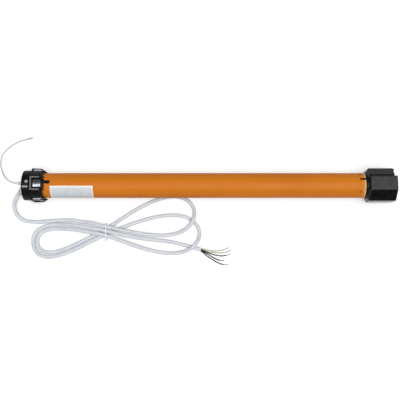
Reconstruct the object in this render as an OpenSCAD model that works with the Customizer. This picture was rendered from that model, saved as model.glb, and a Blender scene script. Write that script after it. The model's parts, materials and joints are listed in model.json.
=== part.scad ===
// Tubular roller motor for an octagonal roller shaft, lying on a table with its cable tied in a hank.
// The motor axis runs along X, the head with the crown is at -X and the drive adapter at +X.

/* [Motor tube] */
// Outside diameter of the tube
tube_d = 45; // [42:0.5:52]
// Wall of the tube
tube_wall = 1.2; // [0.8:0.1:1.6]
// Length of the tube
tube_len = 576; // [540:1:800]
// Width of the slot that locks the head
lock_w = 6; // [4:0.2:8]
// Length of the slot that locks the head
lock_len = 14; // [11:0.5:20]
// Width of the notches at the output end
notch_w = 4.4; // [2:0.2:5]
// Length of the notches at the output end
notch_len = 10.5; // [7:0.5:14]
// Shank diameter of the tube rivets
rivet_d = 4; // [3:0.2:5]
// Distance of the rivets from the end of the tube
rivet_inset = 8.8; // [6:0.2:12]

/* [Label] */
// Length of the label
label_len = 76.5; // [40:0.5:120]
// Distance of the label from the start of the tube
label_inset = 14.2; // [12:0.2:40]
// Angle that the label covers round the tube
label_arc_angle = 100; // [60:1:140]
// Thickness of the label
label_t = 0.12; // [0.08:0.01:0.25]

/* [Head] */
// Diameter of the head flange
flange_d = 54; // [52:0.5:58]
// Length of the head flange
flange_len = 14.6; // [13.6:0.2:24]
// Rounding of the flange edges
flange_round = 1.8; // [0.5:0.1:3]
// Length of the neck that the crown turns on
neck_len = 21.2; // [20.6:0.2:28]
// Length of the spigot inside the tube
spigot_len = 28; // [20:0.5:40]
// Wall of the spigot
spigot_wall = 3.6; // [2:0.1:5]
// Diameter of the cable chamber in the head
chamber_d = 22; // [16:0.5:24]
// Pitch circle of the bracket holes
bracket_pcd = 42; // [38:0.5:44]
// Number of bracket holes
bracket_holes = 4; // [2:1:4]
// Diameter of the bracket holes
bracket_hole_d = 5; // [4:0.1:5.4]
// Depth of the bracket holes
bracket_hole_depth = 9; // [6:0.5:12]
// Height of the raised pad on the flange
pad_h = 0.45; // [0.2:0.05:0.8]

/* [Setting button] */
// Diameter of the button
button_d = 5.6; // [4:0.1:6]
// Travel of the button
button_travel = 1.2; // [0.8:0.1:1.6]
// Distance of the button from the head face
button_inset = 9.5; // [7:0.1:10.5]
// Height of the button above the flange
button_proud = 0.35; // [0.1:0.05:0.8]

/* [Crown] */
// Room from the tube to the flats of the octagonal shaft, both sides together
shaft_gap = 14; // [11:0.2:17]
// Length of the crown
crown_len = 25.1; // [23.5:0.1:30]
// Wall of the crown between its blocks
crown_wall = 4.42; // [4:0.02:5.2]
// Width of each driving block
block_w = 24.4; // [20:0.2:26]
// Wall of the frame round each spring leaf
block_wall = 2.4; // [1.6:0.1:3]
// Width of the spring leaves
leaf_w = 12.2; // [8:0.1:16]
// Thickness of the spring leaves
leaf_t = 0.8; // [0.4:0.1:1.2]
// Thickness of the cheek plates
cheek_t = 0.6; // [0.4:0.1:1]
// Width of the counter teeth inside the crown
counter_w = 7; // [5:0.2:8]

/* [Gearbox] */
// Wall of the gear case behind its teeth
case_wall = 3.52; // [2.5:0.02:4.5]
// Width of the planet wheels
planet_w = 12; // [8:0.5:14]
// Thickness of the carrier plates
carrier_t = 4; // [3:0.5:6]
// Diameter of the planet pins
pin_d = 4; // [3:0.1:5]
// Length of the gearbox cap
cap_len = 58; // [40:1:70]
// Diameter of the output journal
journal_d = 18; // [16:0.2:20]
// Wall of the output bushes
bush_wall = 3; // [2:0.2:4]

/* [Motor] */
// Length of the stator and rotor stacks
stack_len = 100; // [60:1:110]
// Diameter of the rotor
rotor_d = 19.5; // [16:0.1:20]
// Diameter of the rotor shaft
rotor_shaft_d = 7; // [5:0.1:7.4]
// Reach of the windings beyond the stack
winding_reach = 12; // [8:0.5:16]
// Thickness of the end bells
bell_t = 8; // [6:0.5:12]
// Diameter of the bearings
bearing_d = 16; // [13:0.5:19]

/* [Brake] */
// Length of the brake coil
coil_len = 14; // [10:0.5:18]
// Thickness of the armature
armature_t = 3; // [2:0.2:5]
// Travel of the armature
armature_travel = 0.4; // [0.2:0.1:0.6]
// Diameter of the brake disc
brake_disc_d = 26; // [20:0.5:27]
// Thickness of the brake disc
brake_disc_t = 3.2; // [2:0.2:5]

/* [Electronics] */
// Length of the board tray
tray_len = 110; // [95:1:114]
// Thickness of the control board
board_t = 1.6; // [1:0.1:2.4]
// Diameter of the run capacitor
capacitor_d = 32; // [25:0.5:36]
// Length of the run capacitor
capacitor_len = 70; // [50:1:80]

/* [Drive adapter] */
// Length of the drive adapter
adapter_len = 54; // [48:0.2:70]
// Fall of its nose below the flats, both sides together
nose_fall = 8.6; // [5:0.2:11]
// Length of the nose
nose_len = 6.6; // [4:0.2:10]
// Wall of the adapter shell
adapter_wall = 3; // [2:0.1:5]
// Thickness of the web behind the nose
web_t = 8; // [7:0.5:14]
// Outside diameter of the hub
hub_d = 26; // [22:0.5:32]
// Length of the hub
hub_len = 40; // [32:0.5:42]
// Side of the square on the output shaft
square_w = 12; // [10:0.1:12.6]
// Thread diameter of the adapter screw
screw_d = 5; // [4:0.5:6]

/* [Cable] */
// Diameter of the cable
cable_d = 6.8; // [6:0.1:7]
// Diameter of the cores
core_d = 2; // [1.6:0.1:2.1]
// Diameter of the bare core ends
bare_d = 1.1; // [0.8:0.1:1.5]
// Diameter of the aerial wire
aerial_d = 2.2; // [1.4:0.1:2.8]
// Diameter of the sleeve on the aerial tip
aerial_tip_d = 3.2; // [2.8:0.1:4]
// Length of the tapered strain relief
relief_len = 20; // [20:0.5:24]
// Width of the cable tie
tie_w = 2.6; // [2:0.1:4]
// Thickness of the cable tie
tie_t = 1.1; // [0.8:0.1:1.4]

/* [Hidden] */
$fn = 64;

// Clearances that the pieces share
cut = 1;
tube_fit = 0.1;
run_fit = 0.08;
pin_fit = 0.06;
bearing_fit = 0.05;
slide_fit = 0.1;
end_gap = 0.6;
face_gap = 0.3;
glue_gap = 0.05;

// Radii from the tube outwards and inwards
shaft_af = tube_d + shaft_gap;
axis_z = shaft_af / 2;
tube_r = tube_d / 2;
bore_r = tube_r - tube_wall;
inner_r = bore_r - tube_fit;
flange_r = flange_d / 2;
neck_r = tube_r;
corner_ease = 0.15;
corner_r = shaft_af / 2 / cos(22.5) - corner_ease;

// Stations along the axis, with the origin at mid length
total_len = flange_len + neck_len + tube_len + end_gap + adapter_len;
x_face = -total_len / 2;
x_flange = x_face + flange_len;
x_tube0 = x_flange + neck_len;
x_tube1 = x_tube0 + tube_len;
x_adapter = x_tube1 + end_gap;
x_spigot = x_tube0 + spigot_len;

// Angles round the axis, from straight up towards the viewer
lock_angle = -8;
label_angle = 10;
notch_angles = [-23, 157];
rivet_grip = 3;
rivet_angles = [37, 127, 217, 307];
button_angle = -7;
pad_angle = 8;
pad_arc_angle = 18;
bracket_angle = 45;
pad_margin = 0.7;
pad_inset = flange_round + pad_margin;
counter_angle = 120;

// Crown and its turn counter
x_crown = x_flange + face_gap;
crown_bore_r = neck_r + run_fit;
crown_base_r = crown_bore_r + crown_wall;
counter_teeth = 60;
pinion_teeth = 12;
counter_rise = 1.5;
counter_pitch_r = neck_r + counter_rise;
counter_module = 2 * counter_pitch_r / counter_teeth;
pinion_r = counter_module * pinion_teeth / 2;
pinion_orbit = counter_pitch_r - pinion_r;
pinion_gap = 0.4;
axle_r = 1.5;
axle_seat = 6;
magnet_t = 1.5;
magnet_r = 3;
pocket_r = pinion_r + counter_module * 1.5;
pocket_len = counter_w + magnet_t + pinion_gap;
shelf_t = 2;
ring_w = 1.2;
ring_shoulder = 1.2;
ring_depth = 1;
ring_proud = 1.1;
ring_r = neck_r + ring_proud;
x_ring = x_tube0 - ring_shoulder - ring_w;
ring_bore_r = ring_r + face_gap;
block_h = shaft_af / 2;
ramp_len = 7.9;
ring_wall = 0.5;
ramp_end_r = ring_bore_r + ring_wall;
block_rise = 1.2;
block_fall = 0.8;
leaf_clear = 2.8;
leaf_x0 = block_rise + block_wall + leaf_clear;
base_chamfer = 2.5;
base_inset = 3;
base_end = crown_len - base_inset;
leaf_over = 0.2;
leaf_x1 = base_end - base_chamfer + leaf_over;
leaf_half = asin(leaf_w / 2 / crown_base_r);
cheek_rise = 0.3;
cheek_drop = 2;
cheek_front = 3.8;
cheek_back = 0.8;
cheek_lean = 0.6;
cheek_low = sqrt(crown_base_r ^ 2 - (block_w / 2) ^ 2) + cheek_rise;
cheek_high = block_h - cheek_drop;
cheek_x1 = crown_len - ramp_len - cheek_back;

// Setting button, as radii from the motor axis
button_r = button_d / 2;
button_top = flange_r + button_proud;
collar_t = 1.3;
collar_w = 0.8;
collar_r = button_r + collar_w;
button_roof = 3;
chamber_top = flange_r - button_roof;
collar_top = chamber_top - face_gap;
switch_top = collar_top - collar_t - button_travel - face_gap;
switch_h = 3.2;
switch_w = 4.4;
button_chamber_r = collar_r + face_gap;
button_lip = 0.35;
button_lip_depth = 0.8;
x_button = x_face + button_inset;

// Cable gland on the head face
gland_r = 6;
gland_y = 0.8;
gland_drop = 6;
gland_z = axis_z - gland_drop;
gland_depth = 4;
gland_collar_r = 7.4;
gland_collar_t = 1.6;
relief_aim = [-0.6, -0.76, -0.25];
relief_dir = relief_aim / norm(relief_aim);
relief_root_r = 5;
relief_wall = 0.5;
relief_tip_r = cable_d / 2 + relief_wall;
aerial_y = 3.2;
aerial_rise = 4.5;
aerial_z = axis_z + aerial_rise;
aerial_boss_r = 2.8;
aerial_boss_len = 11;

// Gears
pressure_angle = 25;
addendum = 0.8;
dedendum = 1.1;
backlash = 0.11;
sun_teeth = 12;
planet_teeth = 15;
ring_teeth = 42;
planets = 3;
gear_module = (inner_r - case_wall) / (ring_teeth / 2 + dedendum);
sun_r = gear_module * sun_teeth / 2;
planet_orbit = gear_module * (sun_teeth + planet_teeth) / 2;
ring_tip_r = gear_module * (ring_teeth / 2 - addendum);
carrier_r = ring_tip_r - end_gap;
pin_r = pin_d / 2;

// Stations of the gearbox, back from the output end
x_cap1 = x_tube1 - face_gap;
x_cap0 = x_cap1 - cap_len;
stage_gap = 2.4;
stage_pitch = planet_w + end_gap + carrier_t + stage_gap;
case_plate = 5;
case_gap = 1.5;
thrust_len = 6;
output_plate_t = 1.5 * carrier_t;
stages_len = 2 * stage_pitch + planet_w + end_gap + output_plate_t;
case_len = case_plate + case_gap + stages_len + thrust_len;
x_case = x_cap0 - case_len;
x_stage = x_case + case_plate + case_gap;
journal_r = journal_d / 2;
bush_r = journal_r + bearing_fit + bush_wall;
bush_len = 14;
thrust_w = 1.5;
thrust_r = bush_r + thrust_w;
sun_clear = 2;
pin_inset = 0.2;

// Stations of the brake and the motor, back from the gear case
brake_gap = 0.3;
x_brake_disc = x_case - brake_gap - brake_disc_t;
x_armature = x_brake_disc - brake_gap - armature_t;
x_coil = x_armature - armature_travel - face_gap - coil_len;
x_front_bell = x_coil - bell_t;
winding_gap = 1.5;
x_stack1 = x_front_bell - winding_gap - winding_reach;
x_stack0 = x_stack1 - stack_len;
x_rear_bell = x_stack0 - winding_reach - winding_gap - bell_t;
rotor_shaft_r = rotor_shaft_d / 2;
rotor_r = rotor_d / 2;
air_gap = 0.5;
slot_count = 12;
slot_r = 2.2;
slot_shift = 0.7;
slot_orbit = (inner_r + rotor_r + air_gap) / 2 - slot_shift;
bar_fit = 0.2;
bar_r = slot_r - bar_fit;
winding_wall = 1;
bearing_t = 5;
guide_count = 3;
guide_r = 1.2;
guide_angle = 60;
guide_wall = 1;
guide_orbit = brake_disc_d / 2 + guide_r + guide_wall;
armature_r = guide_orbit + guide_r + guide_wall;
spring_clear = 1.1;
spring_wall = 1.2;
spring_r = rotor_shaft_r + spring_clear + spring_wall;
spring_fit = 0.4;
spring_len = 10;

// Stations of the electronics, on from the spigot
tray_gap = 1;
tray_wall = 1.5;
tray_rim = 1;
board_drop = 5;
board_inset = 3;
ledge_w = 3;
ledge_h = 2;
x_tray = x_spigot + tray_gap;
capacitor_gap = 8;
x_capacitor = x_tray + tray_len + capacitor_gap;
capacitor_round = 2;
board_w = 2 * (sqrt((inner_r - tray_wall) ^ 2 - board_drop ^ 2) - face_gap);
board_len = tray_len - 2 * board_inset;
clamp_w = 8;
clamp_inset = 10;
part_inset = 10;
part_gap = 6;
relay_len = 20;
relay_w = 14;
relay_h = 14;
relay_gap = 3;
transformer_len = 24;
transformer_w = 20;
transformer_h = 15;
can_r = 5;
can_h = 15;
can_pitch = 12;
can_count = 3;
x_relay = x_tray + part_inset;
x_transformer = x_relay + relay_len + part_gap;
x_can = x_transformer + transformer_len + part_gap + can_r;

// Drive adapter
nose_af = shaft_af - nose_fall;
nose_step = 0.6;
nose_over = 0.3;
nose_collar_r = nose_af / 2 - nose_step;
nose_collar_len = 3;
nose_slope = nose_fall / 2 / (nose_len - nose_collar_len);
nose_collar_bevel = 1.2;
journal_reach = 1;
journal_recess = journal_reach + end_gap;
square_fit = 0.05;
seam_groove_w = 3.2;
seam_groove_h = 5;
seam_groove_angle = -28;
rib_t = 2.4;
end_chamfer = 0.8;
rim_notch_len = 4.5;
rim_notch_angle = 48;
screw_r = screw_d / 2;
screw_depth = 14;
screw_tip_gap = 2;
screw_head_r = screw_d;
screw_head_h = 4;
washer_r = 9;
washer_t = 1.5;
hex_key_r = screw_r * 0.92;
hex_key_depth = 2.4;
x_hub_end = x_adapter + hub_len;

// Route of the cable from the strain relief to the hank, from the head face
cable_r = cable_d / 2;
relief_root = [x_face - gland_collar_t / 2, gland_y, gland_z];
relief_tip = relief_root + relief_len * relief_dir;
lead_route = [
    [-20.4, -25.5, 14.4], [-22.2, -32.1, 12], [-22.3, -38.9, 9.7], [-20.6, -45.4, 7.6],
    [-17.3, -51.3, 5.9], [-12.5, -56.2, 4.6], [-6.7, -59.6, 3.8], [2, -62, 3.4], [13, -63.4, 3.4],
    [26, -63, 3.4], [44, -61.6, 3.4], [66, -60.2, 3.4], [86, -60.8, 3.9], [103, -63.6, 6], [117, -65.4, 9.6]
];
// Route of the cable from the hank to its cut end, from the tie
tail_route = [
    [32, -7.4, 12.2], [53, -11.6, 10.4], [82, -15.4, 6], [112, -18.6, 3.6], [132, -22.6, 3.4],
    [152, -27.6, 3.4], [163, -30.6, 3.4], [172.6, -33.6, 3.4]
];

// Hank: two loops on each side of the tie, drawn in at the waist where the strands cross
tie_x = x_face + 146;
tie_y = -80.5;
waist_half = 14;
waist_under = 1.6;
tie_clear = 0.4;
tie_slack = 0.3;
tie_head = 5;
cord_sides = 8;
layer_gap = 0.5;
low_z = cable_r + waist_under;
high_z = low_z + cable_d + layer_gap;
strand_gap = 0.8;
high_step = cable_d + strand_gap;
low_gap = 2.2;
low_step = cable_d + low_gap;
hump_gap = 1.4;
hump_h = cable_d + hump_gap;
loop_steps = 24;
// Each loop: side, reach, lean, half width, bluntness of its tip, and the place and half length of its
// hump as shares of the loop
loop_a = [1, 149, 28.4, 31.5, 0, 0.40, 0.17];
loop_b = [1, 156, 1, 30, 0, 0.385, 0.13];
loop_inner = [-1, 113, -17.6, 21.9, 0.03, 0, 0];
loop_outer = [-1, 120.8, -18, 23.9, 0.03, 0, 0];
lead_slope = -0.25;
tail_slope = -0.22;

// Ends of the cores, from the tie: the last point is the bare tip
core_routes = [
    [[185, -34.1, 2.6], [198, -36, 1.4], [210, -34.6, 1], [216, -32.8, 1], [222.5, -29.6, 1]],
    [[185, -37, 1.2], [202, -39.4, 1], [213, -39, 1], [219, -37.8, 1], [227, -34.6, 1]],
    [[184, -38.4, 4], [193.5, -42, 2], [202, -44, 1], [211, -44.8, 1], [218, -43.8, 1], [226, -41.6, 1]],
    [[181, -39.4, 1.3], [188, -43.4, 1], [194, -47.2, 1], [202, -51.4, 1], [208, -53, 1], [215, -53.4, 1]],
    [[177, -39.2, 3], [184, -45.2, 1.6], [194, -51.6, 1], [203, -57, 1], [213, -60.4, 1], [222.5, -60.8, 1]]
];
core_angles = [18, -54, 90, 234, 162];
core_orbit = core_d * 0.95;

// Route of the aerial wire, from the head face
aerial_low = aerial_d / 2;
aerial_route = [
    [-14, 3.6, 33.6], [-21, 5.2, 30.6], [-28.4, 8.7, 25], [-35.6, 13.6, 18], [-42, 20, 11.4],
    [-47.8, 28.2, 6], [-51.6, 37.2, 2.6], [-53.4, 46.6, 1.4], [-52.6, 56, aerial_low],
    [-49.2, 64, aerial_low], [-43.6, 71.4, aerial_low], [-37.4, 77.2, aerial_low],
    [-29.4, 82.7, aerial_low], [-18.8, 88.2, aerial_low], [-10.5, 91.1, aerial_low],
    [-3.4, 92.8, aerial_low]
];
aerial_tip_len = 8;

// Places local z along the motor axis, local x straight up and local y towards the viewer
module on_axis(x) {
    translate([x, 0, axis_z]) rotate([0, 90, 0]) rotate([0, 0, 180]) children();
}

// Equal places round the axis
function places(count) = [for (i = [0:count - 1]) 360 * i / count];
module around(angles) {
    for (a = angles) rotate([0, 0, a]) children();
}

module sleeve(length, r_out, r_in) {
    difference() {
        cylinder(r = r_out, h = length);
        translate([0, 0, -cut]) cylinder(r = r_in, h = length + 2 * cut);
    }
}

// Disc with a rounded rim at both ends
module rounded_disc(r, length, round_r) {
    rotate_extrude() {
        square([r - round_r, length]);
        translate([0, round_r]) square([r, length - 2 * round_r]);
        translate([r - round_r, round_r]) intersection() {
            circle(round_r);
            translate([0, -round_r]) square([round_r, 2 * round_r]);
        }
        translate([r - round_r, length - round_r]) intersection() {
            circle(round_r);
            translate([0, -round_r]) square([round_r, 2 * round_r]);
        }
    }
}

// Piece of a pipe wall over an angle that starts at local x
module pipe_sector(length, r_in, r_out, sweep) {
    rotate_extrude(angle = sweep) translate([r_in, 0]) square([r_out - r_in, length]);
}

// Plate across the radius: an outline of radius and length, extruded sideways
module radial_plate(outline, width) {
    rotate([90, 0, 0]) linear_extrude(width, center = true) polygon(outline);
}

// Cylinder along local x, between two radii from the axis
module radial_pin(r, from, to) {
    translate([from, 0, 0]) rotate([0, 90, 0]) cylinder(r = r, h = to - from);
}

// Involute teeth
function involute(r, base_r) = tan(acos(base_r / r)) * 180 / PI - acos(base_r / r);
function half_tooth(r, base_r, pitch_r, teeth, grow) =
    90 / teeth + grow / pitch_r * 180 / PI
    + involute(pitch_r, base_r) - involute(max(r, base_r), base_r);
function polar(r, a) = [r * cos(a), r * sin(a)];
function tooth_outline(teeth, mod, r_low, r_high, grow) =
    let (pitch_r = teeth * mod / 2, base_r = pitch_r * cos(pressure_angle), flank_steps = 4)
    let (radii = [for (i = [0:flank_steps]) r_low + (r_high - r_low) * i / flank_steps])
    [for (tooth = [0:teeth - 1])
        let (mid = 360 * tooth / teeth)
        each concat(
            [for (r = radii) polar(r, mid - half_tooth(r, base_r, pitch_r, teeth, grow))],
            [for (i = [flank_steps:-1:0])
                polar(radii[i], mid + half_tooth(radii[i], base_r, pitch_r, teeth, grow))]
        )];

module gear(teeth, mod, width) {
    pitch_r = teeth * mod / 2;
    linear_extrude(width) polygon(tooth_outline(
        teeth, mod, pitch_r - dedendum * mod, pitch_r + addendum * mod, -backlash / 2
    ));
}

// Space between the teeth of an inside gear
module ring_space(teeth, mod, width) {
    pitch_r = teeth * mod / 2;
    linear_extrude(width) polygon(tooth_outline(
        teeth, mod, pitch_r - addendum * mod, pitch_r + dedendum * mod, backlash / 2
    ));
}

// Tube swept along points, its rings square to the given directions
function unit(v) = v / norm(v);
function directions(points) =
    let (last = len(points) - 1)
    [for (i = [0:last]) unit(points[min(i + 1, last)] - points[max(i - 1, 0)])];
function cord_ring(p, dir, r, sides) =
    let (side = unit(cross(dir, [0, 0, 1])), up = cross(side, dir))
    [for (i = [0:sides - 1]) p + r * (cos(360 * i / sides) * side + sin(360 * i / sides) * up)];
module cord(points, dirs, r, sides) {
    last = len(points) - 1;
    rings = [for (i = [0:last]) each cord_ring(points[i], dirs[i], r, sides)];
    walls = [for (i = [0:last - 1]) for (j = [0:sides - 1])
        let (a = i * sides + j, b = i * sides + (j + 1) % sides)
        each [[a, a + sides, b], [b, a + sides, b + sides]]];
    polyhedron(concat([points[0], points[last]], rings), concat(
        [for (f = walls) [f[0] + 2, f[1] + 2, f[2] + 2]],
        [for (j = [0:sides - 1]) [0, j + 2, (j + 1) % sides + 2]],
        [for (j = [0:sides - 1]) [1, last * sides + (j + 1) % sides + 2, last * sides + j + 2]]
    ));
}

// Route of the hank
function smooth(q) = let (s = min(max(q, 0), 1)) s * s * (3 - 2 * s);
function fall(t) = 1 - smooth((t - 0.05) / 0.16);
function bump(q) = abs(q) < 1 ? (1 + cos(180 * q)) / 2 : 0;
function reach(l, t) = l[1] * (sin(180 * t) + l[4] * sin(540 * t)) / (1 - l[4]);
function first_reach(l) = l[1] * (1 + 3 * l[4]) / (1 - l[4]);
function turned(l, p) =
    let (a = atan2(l[2], l[1]))
    [p[0] * cos(a) - p[1] * sin(a), p[0] * sin(a) + p[1] * cos(a)];
function slope(v) = v[1] / v[0];
function low_slope(l) = l[0] * slope(turned(l, [first_reach(l), -2 * l[3]]));
function high_slope(l) = l[0] * slope(turned(l, [first_reach(l), 2 * l[3]]));
// A strand through the waist: its height on the middle line, its slopes at the left and right, its layer
strand_in = [high_step, lead_slope, low_slope(loop_a), high_z];
strand_a = [low_step / 2, low_slope(loop_inner), high_slope(loop_a), low_z];
strand_inner = [-high_step, high_slope(loop_inner), low_slope(loop_b), high_z];
strand_b = [-low_step / 2, low_slope(loop_outer), high_slope(loop_b), low_z];
strand_out = [0, high_slope(loop_outer), tail_slope, high_z];
function strand_end(s, side) = s[0] + side * waist_half * (side > 0 ? s[2] : s[1]);
// Points across the waist, without its ends, from left to right
function waist_points(s) =
    [for (i = [1:3])
        let (q = i / 4, w = 2 * waist_half)
        let (a = strand_end(s, -1), b = strand_end(s, 1))
        [
            (q - 0.5) * w,
            a * (2 * q ^ 3 - 3 * q ^ 2 + 1) + b * (3 * q ^ 2 - 2 * q ^ 3)
                + w * s[1] * (q ^ 3 - 2 * q ^ 2 + q) + w * s[2] * (q ^ 3 - q ^ 2),
            s[3]
        ]];
function flip(list) = [for (i = [len(list) - 1:-1:0]) list[i]];
// Points round a loop from its lower strand to its upper one, ends included
function loop_points(l, low, high, steps) =
    [for (i = [0:steps])
        let (t = i / steps, mix = smooth(t), p = turned(l, [reach(l, t), -l[3] * sin(360 * t)]))
        [
            l[0] * (waist_half + p[0]),
            strand_end(low, l[0]) * (1 - mix) + strand_end(high, l[0]) * mix + p[1],
            cable_r + (low[3] - cable_r) * fall(t) + (high[3] - cable_r) * fall(1 - t)
                + (l[6] > 0 ? hump_h * bump((t - l[5]) / l[6]) : 0)
        ]];
function hank_points(steps) = concat(
    [[-waist_half, strand_end(strand_in, -1), high_z]],
    waist_points(strand_in),
    loop_points(loop_a, strand_in, strand_a, steps),
    flip(waist_points(strand_a)),
    loop_points(loop_inner, strand_a, strand_inner, steps),
    waist_points(strand_inner),
    loop_points(loop_b, strand_inner, strand_b, steps),
    flip(waist_points(strand_b)),
    loop_points(loop_outer, strand_b, strand_out, steps),
    waist_points(strand_out),
    [[waist_half, strand_end(strand_out, 1), high_z]]
);
function from_tie(points) = [for (p = points) [tie_x + p[0], tie_y + p[1], p[2]]];
function from_face(points) = [for (p = points) [x_face + p[0], p[1], p[2]]];
function part_of(list, first, last) = [for (i = [first:last]) list[i]];

lead_points = concat([relief_tip, relief_tip + cable_d * relief_dir], from_face(lead_route));
hank_route = from_tie(hank_points(loop_steps));
cable_points = concat(lead_points, hank_route, from_tie(tail_route));
cable_dirs = concat([relief_dir, relief_dir], part_of(directions(cable_points), 2, len(cable_points) - 1));
hank_first = len(lead_points);
hank_last = hank_first + len(hank_route) - 1;
cable_last = len(cable_points) - 1;
tail_end = cable_points[cable_last];
tail_dir = cable_dirs[cable_last];

// Least gap of the hank to itself, measured on close points that are far apart along the cable
fine_route = hank_points(4 * loop_steps);
steps_apart = 9;
hank_gap = min([for (i = [0:len(fine_route) - 1 - steps_apart])
    min([for (j = [i + steps_apart:len(fine_route) - 1]) norm(fine_route[i] - fine_route[j])])]) - cable_d;
function total(list, i = 0) = i < len(list) ? list[i] + total(list, i + 1) : 0;
function route_len(points) = total([for (i = [1:len(points) - 1]) norm(points[i] - points[i - 1])]);
echo(least_gap_of_the_hank = hank_gap, cable_length = route_len(cable_points) + relief_len);

// Tube and what is fixed to it

module motor_tube() {
    color("#d47e32") on_axis(x_tube0) difference() {
        sleeve(tube_len, tube_r, bore_r);
        rotate([0, 0, lock_angle]) translate([0, -lock_w / 2 - slide_fit, -cut])
            cube([tube_d, lock_w + 2 * slide_fit, lock_len + slide_fit + cut]);
        around(notch_angles) translate([0, -notch_w / 2, tube_len - notch_len])
            cube([tube_d, notch_w, notch_len + cut]);
        around(rivet_angles) translate([0, 0, tube_len - rivet_inset])
            radial_pin(rivet_d / 2, bore_r - cut, tube_r + cut);
    }
}

module rating_label() {
    color("#f2efe6") on_axis(x_tube0 + label_inset) rotate([0, 0, label_angle])
        pipe_sector(label_len, tube_r + glue_gap, tube_r + glue_gap + label_t, label_arc_angle);
}

module tube_rivets() {
    head_t = 0.5;
    head_r = 0.7 * rivet_d;
    color("#c8743a") on_axis(x_tube1 - rivet_inset) around(rivet_angles) {
        difference() {
            radial_pin(head_r, tube_r - cut, tube_r + head_t);
            translate([0, 0, -tube_r]) cylinder(r = tube_r, h = tube_d);
        }
        radial_pin(rivet_d / 2, inner_r - rivet_grip, tube_r + head_t);
    }
}

// Head

module motor_head() {
    color("#1b1b1d") difference() {
        union() {
            on_axis(x_face) rounded_disc(flange_r, flange_len, flange_round);
            on_axis(x_flange - cut) cylinder(r = neck_r, h = neck_len + cut);
            on_axis(x_tube0 - cut) cylinder(r = inner_r, h = spigot_len + cut);
            on_axis(x_face + pad_inset) rotate([0, 0, pad_angle])
                pipe_sector(flange_len - 2 * pad_inset, flange_r - cut, flange_r + pad_h, pad_arc_angle);
            on_axis(x_tube0 - cut) rotate([0, 0, lock_angle])
                translate([inner_r - cut, -lock_w / 2, 0])
                    cube([tube_wall / 2 + cut, lock_w, lock_len + cut]);
        }
        on_axis(x_face + gland_depth) cylinder(r = chamber_d / 2, h = flange_len + neck_len + spigot_len);
        on_axis(x_flange + pocket_len + shelf_t)
            cylinder(r = inner_r - spigot_wall, h = neck_len + spigot_len);
        on_axis(x_face - cut) rotate([0, 0, bracket_angle]) around(places(bracket_holes))
            translate([bracket_pcd / 2, 0, 0]) cylinder(r = bracket_hole_d / 2, h = bracket_hole_depth + cut);
        translate([x_face - cut, gland_y, gland_z]) rotate([0, 90, 0])
            cylinder(r = gland_r, h = gland_depth + 2 * cut);
        translate([x_face - cut, aerial_y, aerial_z]) rotate([0, 90, 0])
            cylinder(r = aerial_boss_r, h = gland_depth + 2 * cut);
        on_axis(x_flange) rotate([0, 0, counter_angle]) translate([pinion_orbit, 0, 0]) {
            cylinder(r = pocket_r, h = pocket_len);
            translate([0, 0, -axle_seat]) cylinder(r = axle_r, h = axle_seat + cut);
        }
        on_axis(x_button) rotate([0, 0, button_angle]) {
            radial_pin(button_r + run_fit, chamber_top - cut, flange_r + cut);
            radial_pin(button_r + run_fit + button_lip, flange_r - button_lip_depth, flange_r + cut);
            radial_pin(button_chamber_r, switch_top - switch_h, chamber_top);
        }
        on_axis(x_ring) difference() {
            cylinder(r = neck_r + cut, h = ring_w);
            cylinder(r = neck_r - ring_depth, h = ring_w);
        }
    }
}

module crown_retaining_ring() {
    color("#8d9094") on_axis(x_ring) sleeve(ring_w, ring_r, neck_r - ring_depth);
}

module counter_axle() {
    color("#b9bcc0") on_axis(x_flange) rotate([0, 0, counter_angle])
        translate([pinion_orbit, 0, -axle_seat]) cylinder(r = axle_r, h = axle_seat + pocket_len);
}

module button_switch() {
    color("#2f3033") on_axis(x_button) rotate([0, 0, button_angle])
        translate([switch_top - switch_h, -switch_w / 2, -switch_w / 2]) cube([switch_h, switch_w, switch_w]);
}

module setting_button() {
    color("#9b9b9d") on_axis(x_button) rotate([0, 0, button_angle]) {
        radial_pin(button_r, collar_top - collar_t, button_top);
        radial_pin(collar_r, collar_top - collar_t, collar_top);
    }
}

module cable_gland() {
    tilt_y = acos(relief_dir[2]);
    turn_z = atan2(relief_dir[1], relief_dir[0]);
    color("#d8d8d8") union() {
        translate([x_face, gland_y, gland_z]) rotate([0, 90, 0]) {
            cylinder(r = gland_r, h = gland_depth);
            translate([0, 0, -gland_collar_t]) cylinder(r = gland_collar_r, h = gland_collar_t);
        }
        difference() {
            translate(relief_root) rotate([0, tilt_y, turn_z])
                cylinder(r1 = relief_root_r, r2 = relief_tip_r, h = relief_len);
            translate([x_face - gland_collar_t / 2, -flange_d, 0]) cube([flange_d, 2 * flange_d, flange_d]);
        }
        translate([x_face - aerial_boss_len, aerial_y, aerial_z]) rotate([0, 90, 0])
            cylinder(r = aerial_boss_r, h = aerial_boss_len + gland_depth);
        translate([x_face - gland_collar_t, aerial_y - aerial_boss_r, gland_z])
            cube([gland_collar_t, 2 * aerial_boss_r, aerial_z - gland_z]);
    }
}

// Crown

module crown_block() {
    radial_plate([
        [crown_base_r - 2 * cut, 0], [crown_base_r, 0],
        [block_h, block_rise], [block_h - block_fall, crown_len - ramp_len],
        [ramp_end_r, crown_len], [ring_bore_r - cut, crown_len], [ring_bore_r - cut, base_end - base_chamfer]
    ], block_w);
}

module cheek_outline(width) {
    radial_plate([
        [cheek_low, cheek_front], [cheek_high, cheek_front + cheek_lean], [cheek_high, cheek_x1],
        [cheek_low, cheek_x1 + cheek_high - cheek_low]
    ], width);
}

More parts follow.
